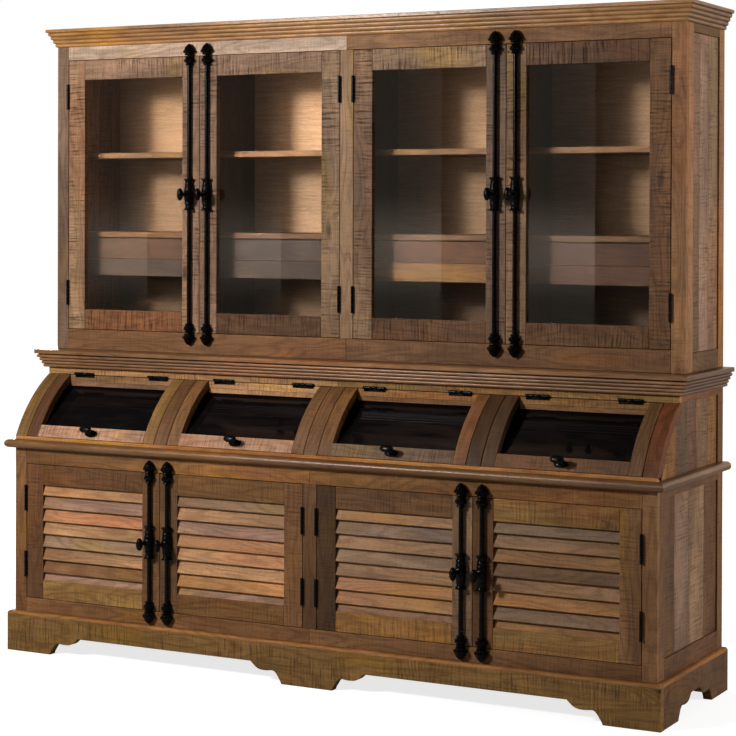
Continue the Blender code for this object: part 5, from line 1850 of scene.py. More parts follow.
@dataclass
class BaseCase:
    """The base carcass: face frame, framed sides, floor, partition, shelves and back."""

    carcass: Carcass
    shelf_height: float = 0.225
    shelf_setback: float = 0.040
    cleat: float = 0.018
    hinge_inset: float = 0.073
    back_rail_sawn: float = 0.5

    def opening(self) -> Span:
        """Foot and top of the door openings."""
        z0 = self.carcass.levels("base_case")[0] + self.carcass.base_bottom_rail
        return (z0, z0 + self.carcass.base_opening)

    def build(self, shop: Workshop) -> None:
        """Builds the carcass and its shelves.

        Args:
            shop: The finishes.
        """
        c = self.carcass
        z0, z1 = c.levels("base_case")
        door_z0, door_z1 = self.opening()
        piece = Joinery("base_carcass")
        FaceFrame(c, c.base_depth, z0, z1, door_z0, door_z1).build(piece, (
            Tone.CHESTNUT, Tone.WALNUT.at(1.8), Tone.CHESTNUT.at(0.72), Tone.HONEY.at(0.56), Tone.CHESTNUT,
            Tone.GOLD.at(0.66), Tone.CHESTNUT))
        side = FramedSide(c, c.base_depth, z0, z1, panels=(0.24, 0.53, 0.80))
        for sign in (-1, 1):
            side.build(piece, sign, (Tone.CHESTNUT, Tone.CHESTNUT, Tone.WALNUT, Tone.WALNUT, Tone.WALNUT,
                                     Tone.SMOKE, Tone.MAUVE, Tone.WALNUT))
        cavity = c.base_depth - c.face - SEAM
        span = (-c.inner + SEAM, c.inner - SEAM)
        floor = (door_z0 - c.board, door_z0)
        for start, end in ((0.0, cavity / 2), (cavity / 2 + SEAM, cavity)):
            piece.add(board(span, c.y_span(start, end), floor, X), Tone.WALNUT, FINE_SAWN)
        rail = board(span, c.y_span(0.0, c.face), (z0, floor[0] - SEAM), X)
        piece.add(rail, Tone.UMBER, self.back_rail_sawn)
        half_board = c.board / 2
        piece.add(board((-half_board, half_board), c.y_span(c.back + GAP, cavity), (door_z0 + SEAM, z1), Z),
                  Tone.WALNUT, FINE_SAWN)
        shelf_top = door_z0 + self.shelf_height
        cleat_top = shelf_top - c.board - GAP
        near, far = c.base_depth - c.face - self.shelf_setback, c.back + GAP
        for sign, label in ((-1, "left"), (1, "right")):
            for wall, inward in ((sign * c.inner, -sign), (sign * half_board, sign)):
                piece.add(board((wall, wall + inward * self.cleat), c.y_span(near, far),
                                (cleat_top - self.cleat, cleat_top), Y), Tone.WALNUT, FINE_SAWN)
            shelf = Joinery(f"base_shelf_{label}_boards")
            middle = (near + far) / 2
            for start, end in ((far, middle - SEAM), (middle, near)):
                shelf.add(board((sign * (half_board + GAP), sign * (c.inner - GAP)), c.y_span(start, end),
                                (shelf_top - c.board, shelf_top), X), Tone.CHESTNUT, PLANED)
            shelf.finish(shop.wood, (f"base_shelf_{label}",))
        piece.finish(shop.wood, ("base_case",))
        back = Joinery("base_back_boards")
        add_back_boards(back, c, (0.0, c.back), (door_z0 + GAP, z1 - GAP), (Tone.WALNUT,) * 6)
        back.finish(shop.wood, ("base_back",))


def add_back_boards(piece: Joinery, carcass: Carcass, depths: Span, heights: Span,
                    stains: Sequence[Stain], grain: int = Z) -> None:
    """Adds the thin upright boards that close a carcass at the back.

    Args:
        piece: The piece that they belong to.
        carcass: The carcass.
        depths: How far their two faces stand in front of the back plane.
        heights: Their foot and top.
        stains: The stain of each board, from the left.
        grain: The axis that their grain follows.
    """
    edges = np.linspace(-carcass.inner + GAP, carcass.inner - GAP, len(stains) + 1)
    for left, right, stain in zip(edges[:-1], edges[1:], stains):
        piece.add(board((left + SEAM / 2, right - SEAM / 2), carcass.y_span(depths[0], depths[1]),
                        heights, grain, THIN_EASED), stain, PLANED)


@dataclass
class HutchCase:
    """The hutch carcass: face frame, framed sides, floor, ceiling, back, partitions, shelves and runners."""

    carcass: Carcass
    shelf: float = 0.020
    shelf_heights: Span = (0.3315, 0.6165)
    shelf_setback: float = 0.060
    seat: float = 0.003
    hinge_inset: float = 0.085
    drawer_front: float = 0.135
    drawer_face: float = 0.018
    drawer_top_gap: float = 0.003
    drawer_side_gap: float = 0.003
    drawer_lift: float = 0.014
    runner_width: float = 0.010
    runner_height: float = 0.012
    shelf_sawn: float = 0.15
    # Painted shade: the plywood back's inner skin is darker towards the bottom and in three of the four bays.
    painted_shade_by_level: Triple = (0.25, 0.60, 0.85)
    painted_shade_by_bay: tuple[float, ...] = (0.66, 1.05, 0.66, 0.66)
    outer_shade: float = 0.6

    def opening(self) -> Span:
        """Foot and top of the door openings."""
        z0 = self.carcass.levels("hutch_case")[0] + self.carcass.hutch_bottom_rail
        return (z0, z0 + self.carcass.hutch_opening)

    def build(self, shop: Workshop) -> None:
        """Builds the carcass and what stands in it.

        Args:
            shop: The finishes.
        """
        c = self.carcass
        z0, z1 = c.levels("hutch_case")
        door_z0, door_z1 = self.opening()
        ceiling = z1 - c.board
        piece = Joinery("hutch_carcass")
        FaceFrame(c, c.hutch_depth, z0, z1, door_z0, door_z1).build(piece, (
            Tone.MAUVE.at(0.88), Tone.CHESTNUT.at(1.45), Tone.SMOKE, Tone.BLUSH, Tone.CHESTNUT,
            Tone.CHESTNUT.at(1.2), Tone.WALNUT.at(1.18)))
        side = FramedSide(c, c.hutch_depth, z0, z1)
        for sign in (-1, 1):
            side.build(piece, sign, (Tone.CHESTNUT.at(1.65), Tone.CHESTNUT.at(1.35), Tone.WALNUT,
                                     Tone.WALNUT, Tone.SMOKE.at(0.9), Tone.ROSE.at(0.85),
                                     Tone.MAUVE.at(0.9)))
        cavity = c.hutch_depth - c.face - SEAM
        span = (-c.inner + SEAM, c.inner - SEAM)
        piece.add(board(span, c.y_span(0.0, cavity), (door_z0 - c.board, door_z0), X), Tone.WALNUT, PLANED)
        piece.add(board(span, c.y_span(0.0, cavity), (ceiling, z1), X), Tone.WALNUT, PLANED)
        piece.add(board(span, c.y_span(0.0, c.face), (z0, door_z0 - c.board - SEAM), X), Tone.UMBER, SAWN)
        top = self.runner_top(door_z0)
        edge = c.bay_middle + c.bay_width / 2 - self.drawer_side_gap - self.runner_width
        runner_front = self.shelf_depth() - self.drawer_face - GAP
        for sign in (-1, 1):
            piece.add(board((sign * c.inner, sign * edge), c.y_span(runner_front, c.back + GAP),
                            (top - self.runner_height, top), Y), Tone.WALNUT, PLANED)
        piece.finish(shop.wood, ("hutch_case",))
        back = Joinery("hutch_ply_back")
        seats = [door_z0 + height + self.shelf / 2 for height in self.shelf_heights]
        levels = (door_z0 + GAP, *seats, ceiling - GAP)
        # Inner skin: one sheet per level and bay, darkened as painted shade; the outer sheet behind it is
        # plain.
        for foot, top, shade in zip(levels[:-1], levels[1:], self.painted_shade_by_level):
            sheets = [Tone.PLY.at(shade * bay) for bay in self.painted_shade_by_bay]
            add_back_boards(back, c, (c.back / 2, c.back), (foot, top - SEAM), sheets, X)
        outer = (Tone.PLY.at(self.outer_shade),) * 2
        add_back_boards(back, c, (0.0, c.back / 2), (levels[0], levels[-1]), outer, X)
        back.finish(shop.plywood, ("hutch_back",))
        self.build_dividers(shop, door_z0, ceiling - GAP, runner_front)

    def shelf_depth(self) -> float:
        """Depth of the shelf edges and drawer fronts."""
        return self.carcass.hutch_depth - self.carcass.face - self.shelf_setback

    def drawer_z0(self, door_z0: float) -> float:
        """Underside of the drawer fronts."""
        return door_z0 + self.shelf_heights[0] - self.drawer_top_gap - self.drawer_front

    def runner_top(self, door_z0: float) -> float:
        """Top of the drawer runners."""
        return self.drawer_z0(door_z0) + self.drawer_lift - GAP

    def build_dividers(self, shop: Workshop, door_z0: float, ceiling: float, runner_front: float) -> None:
        """Builds the partitions, the shelves and the inner runners.

        Args:
            shop: The finishes.
            door_z0: Foot of the door openings.
            ceiling: Underside of the ceiling.
            runner_front: Depth of the runners' front ends.
        """
        c = self.carcass
        half_board = c.board / 2
        piece = Joinery("hutch_shelves")
        near, far = c.hutch_depth - c.face - self.seat, c.back + GAP
        partitions = (-c.bay_middle, 0.0, c.bay_middle)
        for x in partitions:
            piece.add(board((x - half_board, x + half_board), c.y_span(near, far),
                            (door_z0 + GAP, ceiling), Z), Tone.UMBER.at(0.7), PLANED)
        walls = [-c.inner + GAP - half_board, *partitions, c.inner - GAP + half_board]
        y = c.y_span(self.shelf_depth(), far)
        for height, stain in zip(self.shelf_heights, (Tone.CHESTNUT.at(0.6), Tone.CHESTNUT)):
            z = (door_z0 + height, door_z0 + height + self.shelf)
            for left, right in zip(walls[:-1], walls[1:]):
                piece.add(board((left + half_board, right - half_board), y, z, X), stain, self.shelf_sawn)
        top = self.runner_top(door_z0)
        reaches = ((-c.bay_middle, half_board), (c.bay_middle, half_board), (0.0, c.mullion / 2))
        for x, reach in reaches:
            half = reach + self.drawer_side_gap + self.runner_width
            for sign in (-1, 1):
                piece.add(board((x + sign * half_board, x + sign * half), c.y_span(runner_front, far),
                                (top - self.runner_height, top), Y), Tone.WALNUT, PLANED)
        piece.finish(shop.wood, ("hutch_dividers",))


@dataclass
class InnerDrawer:
    """A plain drawer behind a glazed door, its front glued up from two boards."""

    carcass: Carcass
    hutch: HutchCase
    number: int
    stains: tuple[Stain, Stain]
    side: float = 0.012
    bottom: float = 0.006
    back_gap: float = 0.015
    side_drop: float = 0.020
    joint: float = 0.46

    def span(self) -> Span:
        """Left and right side of the drawer.

        Returns:
            Its two ends.
        """
        c = self.carcass
        wall, jamb = c.board / 2 + self.hutch.drawer_side_gap, c.bay_width / 2 - self.hutch.drawer_side_gap
        middle = (-1 if self.number <= 2 else 1) * c.bay_middle
        return (middle - jamb, middle - wall) if self.number % 2 else (middle + wall, middle + jamb)

    def build(self, shop: Workshop) -> None:
        """Builds the drawer.

        Args:
            shop: The finishes.
        """
        c, hutch = self.carcass, self.hutch
        x0, x1 = self.span()
        z0 = hutch.drawer_z0(hutch.opening()[0])
        z1 = z0 + hutch.drawer_front
        near = hutch.shelf_depth()
        behind = near - hutch.drawer_face
        joint = z0 + hutch.drawer_front * self.joint
        piece = Joinery(f"inner_drawer_{self.number}_boards", f"inner_drawer_{self.number}")
        face = c.y_span(near, behind)
        piece.add(board((x0, x1), face, (joint + SEAM, z1), X), self.stains[0], PLANED)
        piece.add(board((x0, x1), face, (z0, joint), X), self.stains[1], PLANED)
        floor, rim = z0 + hutch.drawer_lift, z1 - self.side_drop
        back = c.back + self.back_gap
        for edge, inward in ((x0, 1), (x1, -1)):
            side = board((edge, edge + inward * self.side), c.y_span(behind - SEAM, back), (floor, rim), Y)
            piece.add(side, Tone.TAN, PLANED)
        inner = (x0 + self.side + SEAM, x1 - self.side - SEAM)
        piece.add(board(inner, c.y_span(back, back + self.side), (floor, rim), X), Tone.TAN, PLANED)
        piece.add(board(inner, c.y_span(back + self.side + SEAM, behind - SEAM),
                        (floor, floor + self.bottom), X, THIN_EASED), Tone.TAN, PLANED)
        piece.finish(shop.wood, (f"inner_drawer_{self.number}",))


@dataclass
class Sweep:
    """The round sweep of the roll-top front: an arc in (depth, height) from the sill to the head rail."""

    carcass: Carcass
    radius: float = 0.480
    stations: int = 22
    slat_stations: int = 6
    nick: float = 0.0008

    def __post_init__(self) -> None:
        """Finds the centre: the chord's middle, moved square to the chord by the arc's rise."""
        c = self.carcass
        self.z0 = c.levels("rolltop_case")[0] + c.sill
        self.z1 = self.z0 + c.flap_opening
        low, high = np.array([c.base_depth, self.z0]), np.array([c.bin_depth, self.z1])
        chord = high - low
        inward = np.array([-chord[1], chord[0]]) / np.linalg.norm(chord)
        rise = math.sqrt(self.radius ** 2 - (np.linalg.norm(chord) / 2) ** 2)
        self.centre = (low + high) / 2 + inward * rise
        self.low = math.asin((self.z0 - self.centre[1]) / self.radius)
        self.high = math.asin((self.z1 - self.centre[1]) / self.radius)

    def point(self, angle: Array | float, inset: float = 0.0) -> Array:
        """(depth, height) on the arc, or on a smaller arc inset from it."""
        reach = self.radius - inset
        return np.stack([self.centre[0] + reach * np.cos(angle), self.centre[1] + reach * np.sin(angle)], -1)

    def outwards(self, angle: Array | float) -> Array:
        """Unit vector square to the arc, in the frame's coordinates."""
        angle = np.asarray(angle, float)
        return np.stack([np.zeros_like(angle), -np.cos(angle), np.sin(angle)], -1)

    def curved_board(self, x: Span, start: float, end: float, outer: float, inner: float,
                     eased: float = EASED) -> Shell:
        """Bends a board along the arc: its section is carried round from one angle to the other.

        Args:
            x: Its left and right edge.
            start: Angle of its lower end.
            end: Angle of its upper end.
            outer: How far its outer face is inset from the arc.
            inner: How far its inner face is inset.
            eased: Width of the chamfer.

        Returns:
            The bent board.
        """
        angles = np.linspace(start, end, self.stations)
        middle = (outer + inner) / 2
        depth_height = self.point(angles, middle)
        centre_x = np.full(len(angles), (x[0] + x[1]) / 2)
        bases = np.column_stack([centre_x, self.carcass.y_at(depth_height[:, 0]), depth_height[:, 1]])
        half_width, half_height = abs(x[1] - x[0]) / 2, abs(inner - outer) / 2
        section = eased_rectangle(half_width, half_height, min(eased, MOST_EASED * half_height))
        outs = np.tile(UNIT[X], (len(angles), 1))
        along = self.radius * angles
        half = (abs(end - start) * self.radius / 2, half_width, half_height)
        return carried(section, bases, outs, self.outwards(angles), along, half)

    def flat_slat(self, x: Span, start: float, end: float, outer: float, inner: float) -> Shell:
        """Makes a slat whose grain runs along X and whose section is a piece of the arc's band.

        Args:
            x: Its left and right end.
            start: Angle of its lower edge.
            end: Angle of its upper edge.
            outer: How far its outer face is inset from the arc.
            inner: How far its inner face is inset.

        Returns:
            The slat.
        """
        count, nick = self.slat_stations, self.nick
        angles = np.linspace(start, end, count)
        trimmed = np.linspace(start + nick / self.radius, end - nick / self.radius, count)
        outline = np.vstack([self.point(trimmed, outer), self.point(angles[-1:], outer + nick),
                             self.point(angles[::-1], inner), self.point(angles[:1], outer + nick)])
        section = np.column_stack([self.carcass.y_at(outline[:, 0]), outline[:, 1]])
        bases = np.array([(x[0], 0.0, 0.0), (x[1], 0.0, 0.0)])
        worn = np.concatenate([[0.6], np.zeros(count - 2), [0.6, 0.4], np.zeros(count), [0.4]])
        return carried(section, bases, np.tile(UNIT[Y], (2, 1)), np.tile(UNIT[Z], (2, 1)), worn=worn)


@dataclass
class RollTop:
    """The roll-top section's fixed part: curved ribs and ends, head rail, sill, divider and back."""

    carcass: Carcass
    sweep: Sweep
    rib: float = 0.030
    front_board: float = 0.450
    front_stile: float = 0.346
    back_stile: float = 0.049
    panels: tuple[float, ...] = (0.30, 0.66)
    band: float = 0.002
    end_sawn: float = 0.6
    head_sawn: float = 0.8

    def openings(self) -> list[Span]:
        """Left and right edge of the four openings between the ribs.

        Returns:
            The openings, from the left.
        """
        c = self.carcass
        inner, outer = c.mullion / 2, c.half - c.stile
        spans = [(inner, c.bay_middle - inner), (c.bay_middle + inner, outer)]
        return sorted([(-b, -a) for a, b in spans] + spans)

    def side(self, piece: Joinery, sign: int) -> None:
        """Adds one end: two boards along the curve, a back stile, a top rail and recessed upright boards.

        Args:
            piece: The piece that it belongs to.
            sign: -1 for the left end and 1 for the right.
        """
        c, sweep = self.carcass, self.sweep
        z0, z1 = c.levels("rolltop_case")
        faces = (sign * c.half, sign * c.inner)
        reach, inset = sweep.radius - self.rib, self.rib + SEAM
        turn = math.acos((self.front_board - sweep.centre[0]) / reach)
        end = sweep.high + SEAM / sweep.radius
        lower = sweep.point(np.linspace(sweep.low, turn, 12), inset)
        upper = sweep.point(np.linspace(turn, end, 6), inset)
        top = sweep.z1 - SEAM
        tip = upper[-1] + (top - upper[-1, 1]) / math.sin(end) * np.array([math.cos(end), math.sin(end)])
        corner = (self.front_stile, z0)
        outlines = (
            (np.vstack([[(self.front_board + SEAM, z0), (lower[0, 0], z0)], lower]), Tone.HONEY.at(0.54)),
            (np.vstack([[corner, (self.front_board, z0)], upper, [tip, (self.front_stile, top)]]),
             Tone.MAUVE.at(0.62)),
        )
        for outline, stain in outlines:
            shell = sawn_board(outline, faces, -UNIT[Y], UNIT[Z], UNIT[X], band=self.band)
            shell.points += (0.0, c.back_y, 0.0)
            shell.place[:, [0, 1]] = shell.place[:, [1, 0]]
            piece.add(shell, stain, self.end_sawn)
        piece.add(board(faces, c.y_span(0.0, self.back_stile), (z0, z1), Z), Tone.CHESTNUT.at(0.85),
                  FINE_SAWN)
        piece.add(board(faces, c.y_span(self.back_stile + SEAM, c.bin_depth - c.face - SEAM),
                        (sweep.z1, z1), Y), Tone.REDDISH.at(0.8), FINE_SAWN)
        add_panel(piece, c, sign, (self.back_stile, self.front_stile), self.panels, (z0, top),
                  (Tone.OLIVE.at(0.7), Tone.SMOKE.at(0.7), Tone.MAUVE.at(0.7)))

    def build(self, shop: Workshop) -> None:
        """Builds the section.

        Args:
            shop: The finishes.
        """
        c, sweep = self.carcass, self.sweep
        z0, z1 = c.levels("rolltop_case")
        piece = Joinery("rolltop_carcass")
        middle, edge = c.mullion / 2, c.half - c.stile
        ribs = ((-c.half, -edge), (-c.bay_middle - middle, -c.bay_middle + middle), (-middle, middle),
                (c.bay_middle - middle, c.bay_middle + middle), (edge, c.half))
        stains = (Tone.OLIVE.at(0.8), Tone.CHESTNUT, Tone.CHESTNUT.at(0.9), Tone.WALNUT.at(0.52),
                  Tone.REDDISH.at(0.7))
        for rib, stain in zip(ribs, stains):
            piece.add(sweep.curved_board(rib, sweep.low, sweep.high, 0.0, self.rib), stain, FINE_SAWN)
        piece.add(board((-c.half, c.half), c.y_span(c.base_depth, c.base_depth - self.rib),
                        (z0, sweep.z0 - SEAM), X), Tone.HONEY, FINE_SAWN)
        head = c.y_span(c.bin_depth, c.bin_depth - c.face)
        for x, stain in (((-c.half, -SEAM), Tone.TAN.at(0.8)), ((0.0, c.half), Tone.OLIVE)):
            piece.add(board(x, head, (sweep.z1 + SEAM, z1), X), stain, self.head_sawn)
        for sign in (-1, 1):
            self.side(piece, sign)
        half_board = c.board / 2
        arc = np.linspace(sweep.low, sweep.high, 12)
        inner_arc = sweep.point(arc, self.rib + GAP)
        outline = np.vstack([[(c.back + GAP, z0), (inner_arc[0, 0], z0)], inner_arc,
                             [(inner_arc[-1, 0], z1), (c.back + GAP, z1)]])
        divider = sawn_board(outline, (-half_board, half_board), -UNIT[Y], UNIT[Z], UNIT[X])
        divider.points += (0.0, c.back_y, 0.0)
        piece.add(divider, Tone.WALNUT, PLANED)
        for span in ((-c.inner, -SEAM), (0.0, c.inner)):
            piece.add(board(span, c.y_span(0.0, c.back), (z0, z1), X, THIN_EASED), Tone.UMBER, PLANED)
        piece.finish(shop.wood, ("rolltop_case",))


@dataclass
class Flap:
    """A lift-up flap: bent stiles and bottom rail round a flat pane, an upright top rail and a knob."""

    carcass: Carcass
    sweep: Sweep
    number: int
    opening: Span
    stains: tuple[Stain, ...]
    thickness: float = 0.026
    stile: float = 0.045
    top_slats: tuple[float, ...] = (0.024, 0.016)
    slat_thickness: float = 0.020
    bottom_rail: float = 0.045
    rebate: float = 0.010
    rebate_depth: float = 0.012
    glass: float = 0.004
    hinge_length: float = 0.082
    hinge_inset: float = 0.070
    hinge_offset: float = 0.0055
    leaf_height: float = 0.008
    knob_reach: float = 0.038
    knob_half: Triple = (0.0240, 0.0130, 0.0092)
    stem: tuple[Span, ...] = (
        (0.0055, 0.0085), (0.0090, 0.0058), (0.0180, 0.0050), (0.0288, 0.0075),
    )
    rose: tuple[Span, ...] = (
        (0.0, 1.0), (0.0018, 1.0), (0.0038, 0.86), (0.0054, 0.55), (0.0060, 0.36),
    )
    pane_eased: float = 0.0003
    rail_sawn: float = 0.6

    @property
    def name(self) -> str:
        """The flap's own name."""
        return f"flap_{self.number}"

    def hinge_axis(self) -> Array:
        """(depth, height) of the hinge.

        Returns:
            The point.
        """
        tilt = self.sweep.high
        lift = self.hinge_offset * (1 - math.cos(tilt)) / math.sin(tilt)
        return np.array([self.carcass.bin_depth + self.hinge_offset, self.sweep.z1 + lift])

    def hinges(self) -> list[Array]:
        """Left end of each hinge's axis.

        Returns:
            One point for each hinge.
        """
        depth, height = self.hinge_axis()
        starts = (self.opening[0] + self.hinge_inset, self.opening[1] - self.hinge_inset - self.hinge_length)
        return [np.array([x, self.carcass.y_at(depth), height]) for x in starts]

    def knob(self, iron: Joinery) -> None:
        """Adds the oval rose, the stem and the oval head, square to the curve on the bottom rail.

        Args:
            iron: The flap's ironwork.
        """
        sweep = self.sweep
        angle = sweep.low + (self.carcass.door_gap + self.bottom_rail / 2) / sweep.radius
        depth, height = sweep.point(angle)
        foot = np.array([sum(self.opening) / 2, self.carcass.y_at(depth), height])
        axis = sweep.outwards(angle)
        wide, high, _ = self.knob_half
        rose, stem = np.array(self.rose), smooth_profile(self.stem, 3)
        iron.add(lathe(rose[:, 0], rose[:, 1] * wide, foot, axis, sides=28, flatten=high / wide))
        iron.add(lathe(stem[:, 0], stem[:, 1], foot, axis, sides=20))
        iron.add(oval_head(self.knob_half, foot + self.knob_reach * axis, axis))

    def frame_boards(self, piece: Joinery, inner: Span, window_low: float) -> float:
        """Adds the stiles and the rails.

        Args:
            piece: The flap's woodwork.
            inner: Left and right end of the rails.
            window_low: Angle of the bottom rail's upper edge.

        Returns:
            Height of the top rail's foot.
        """
        c, sweep = self.carcass, self.sweep
        x0, x1 = self.opening[0] + c.door_gap, self.opening[1] - c.door_gap
        low = math.asin((sweep.z0 + c.door_gap - sweep.centre[1]) / sweep.radius)
        high = sweep.high - c.door_gap / sweep.radius
        for x, stain in (((x0, x0 + self.stile), self.stains[0]), ((x1 - self.stile, x1), self.stains[1])):
            piece.add(sweep.curved_board(x, low, high, 0.0, self.thickness), stain, FINE_SAWN)
        piece.add(sweep.flat_slat(inner, low, window_low, 0.0, self.thickness), self.stains[2],
                  self.rail_sawn)
        top = sweep.z1 - c.door_gap
        for number, slat in enumerate(self.top_slats):
            front = c.bin_depth - SEAM - number * EASED
            y = c.y_span(front, front - self.slat_thickness)
            piece.add(board(inner, y, (top - slat + SEAM, top), X), self.stains[3 + number], self.rail_sawn)
            top -= slat
        return top

    def build(self, shop: Workshop) -> None:
        """Builds the flap.

        Args:
            shop: The finishes.
        """
        c, sweep = self.carcass, self.sweep
        left, right = self.opening
        inner = (left + c.door_gap + self.stile + SEAM, right - c.door_gap - self.stile - SEAM)
        window_low = sweep.low + (c.door_gap + self.bottom_rail) / sweep.radius
        piece = Joinery(f"{self.name}_frame", self.name)
        rail_foot = self.frame_boards(piece, inner, window_low)
        piece.finish(shop.wood, (self.name,))
        seat = self.thickness - self.rebate_depth + GAP + self.glass / 2
        foot = sweep.point(window_low - (self.rebate - GAP) / sweep.radius, seat)
        behind = c.bin_depth - self.slat_thickness - 2 * EASED - self.glass
        head = np.array([behind, rail_foot + self.rebate / 2])
        ends = np.array([(0.0, c.y_at(depth), height) for depth, height in (foot, head)])
        length = np.linalg.norm(ends[1] - ends[0])
        across = (ends[1] - ends[0]) / length
        axes = np.array([UNIT[X], across, np.cross(UNIT[X], across)])
        middle = ends.mean(0) + UNIT[X] * (inner[0] + inner[1]) / 2
        half = np.array([(inner[1] - inner[0]) / 2 + self.rebate, length / 2, self.glass / 2])
        pane = Joinery(f"{self.name}_pane", self.name)
        pane.add(placed_board(middle, half, axes, self.pane_eased))
        pane.finish(shop.dark_glass, (f"{self.name}_glass",))
        iron = Joinery(f"{self.name}_ironwork", self.name)
        hinge = ButtHinge(length=self.hinge_length)
        leaf_top = sweep.z1 - c.door_gap
        leaf_y, leaf_z = c.y_span(c.bin_depth + EASED, c.bin_depth), (leaf_top - self.leaf_height, leaf_top)
        for start in self.hinges():
            for shell in hinge.knuckles(start, UNIT[X], True):
                iron.add(shell)
            iron.add(board((start[0], start[0] + self.hinge_length), leaf_y, leaf_z, X, SEAM))
        self.knob(iron)
        iron.finish(shop.iron, sharp=50.0)


@dataclass
class CabinetIron:
    """The ironwork that stays on the cabinet: keepers and the fixed knuckles of every hinge."""

    carcass: Carcass

    def build(self, shop: Workshop, rows: list[tuple[list[Leaf], Span]], flaps: list[Flap]) -> None:
        """Builds the keepers and knuckles.

        Args:
            shop: The finishes.
            rows: The doors of each row with the foot and top of their openings.
            flaps: The curved flaps.
        """
        piece = Joinery("cabinet_ironwork")
        hinge = ButtHinge()
        for leaves, opening in rows:
            for leaf in leaves:
                CremoneBolt(self.carcass, leaf).add_keepers(piece, opening)
                for start in hinge_starts(self.carcass, leaf, hinge):
                    for shell in hinge.knuckles(start, UNIT[Z], False):
                        piece.add(shell)
        for flap in flaps:
            for start in flap.hinges():
                for shell in ButtHinge(length=flap.hinge_length).knuckles(start, UNIT[X], False):
                    piece.add(shell)
        piece.finish(shop.iron, sharp=40.0)


@dataclass(frozen=True)
class Lamp:
    """A soft square lamp: its place, its power in watts and the length of its sides."""

    name: str
    place: Triple
    power: float
    size: float


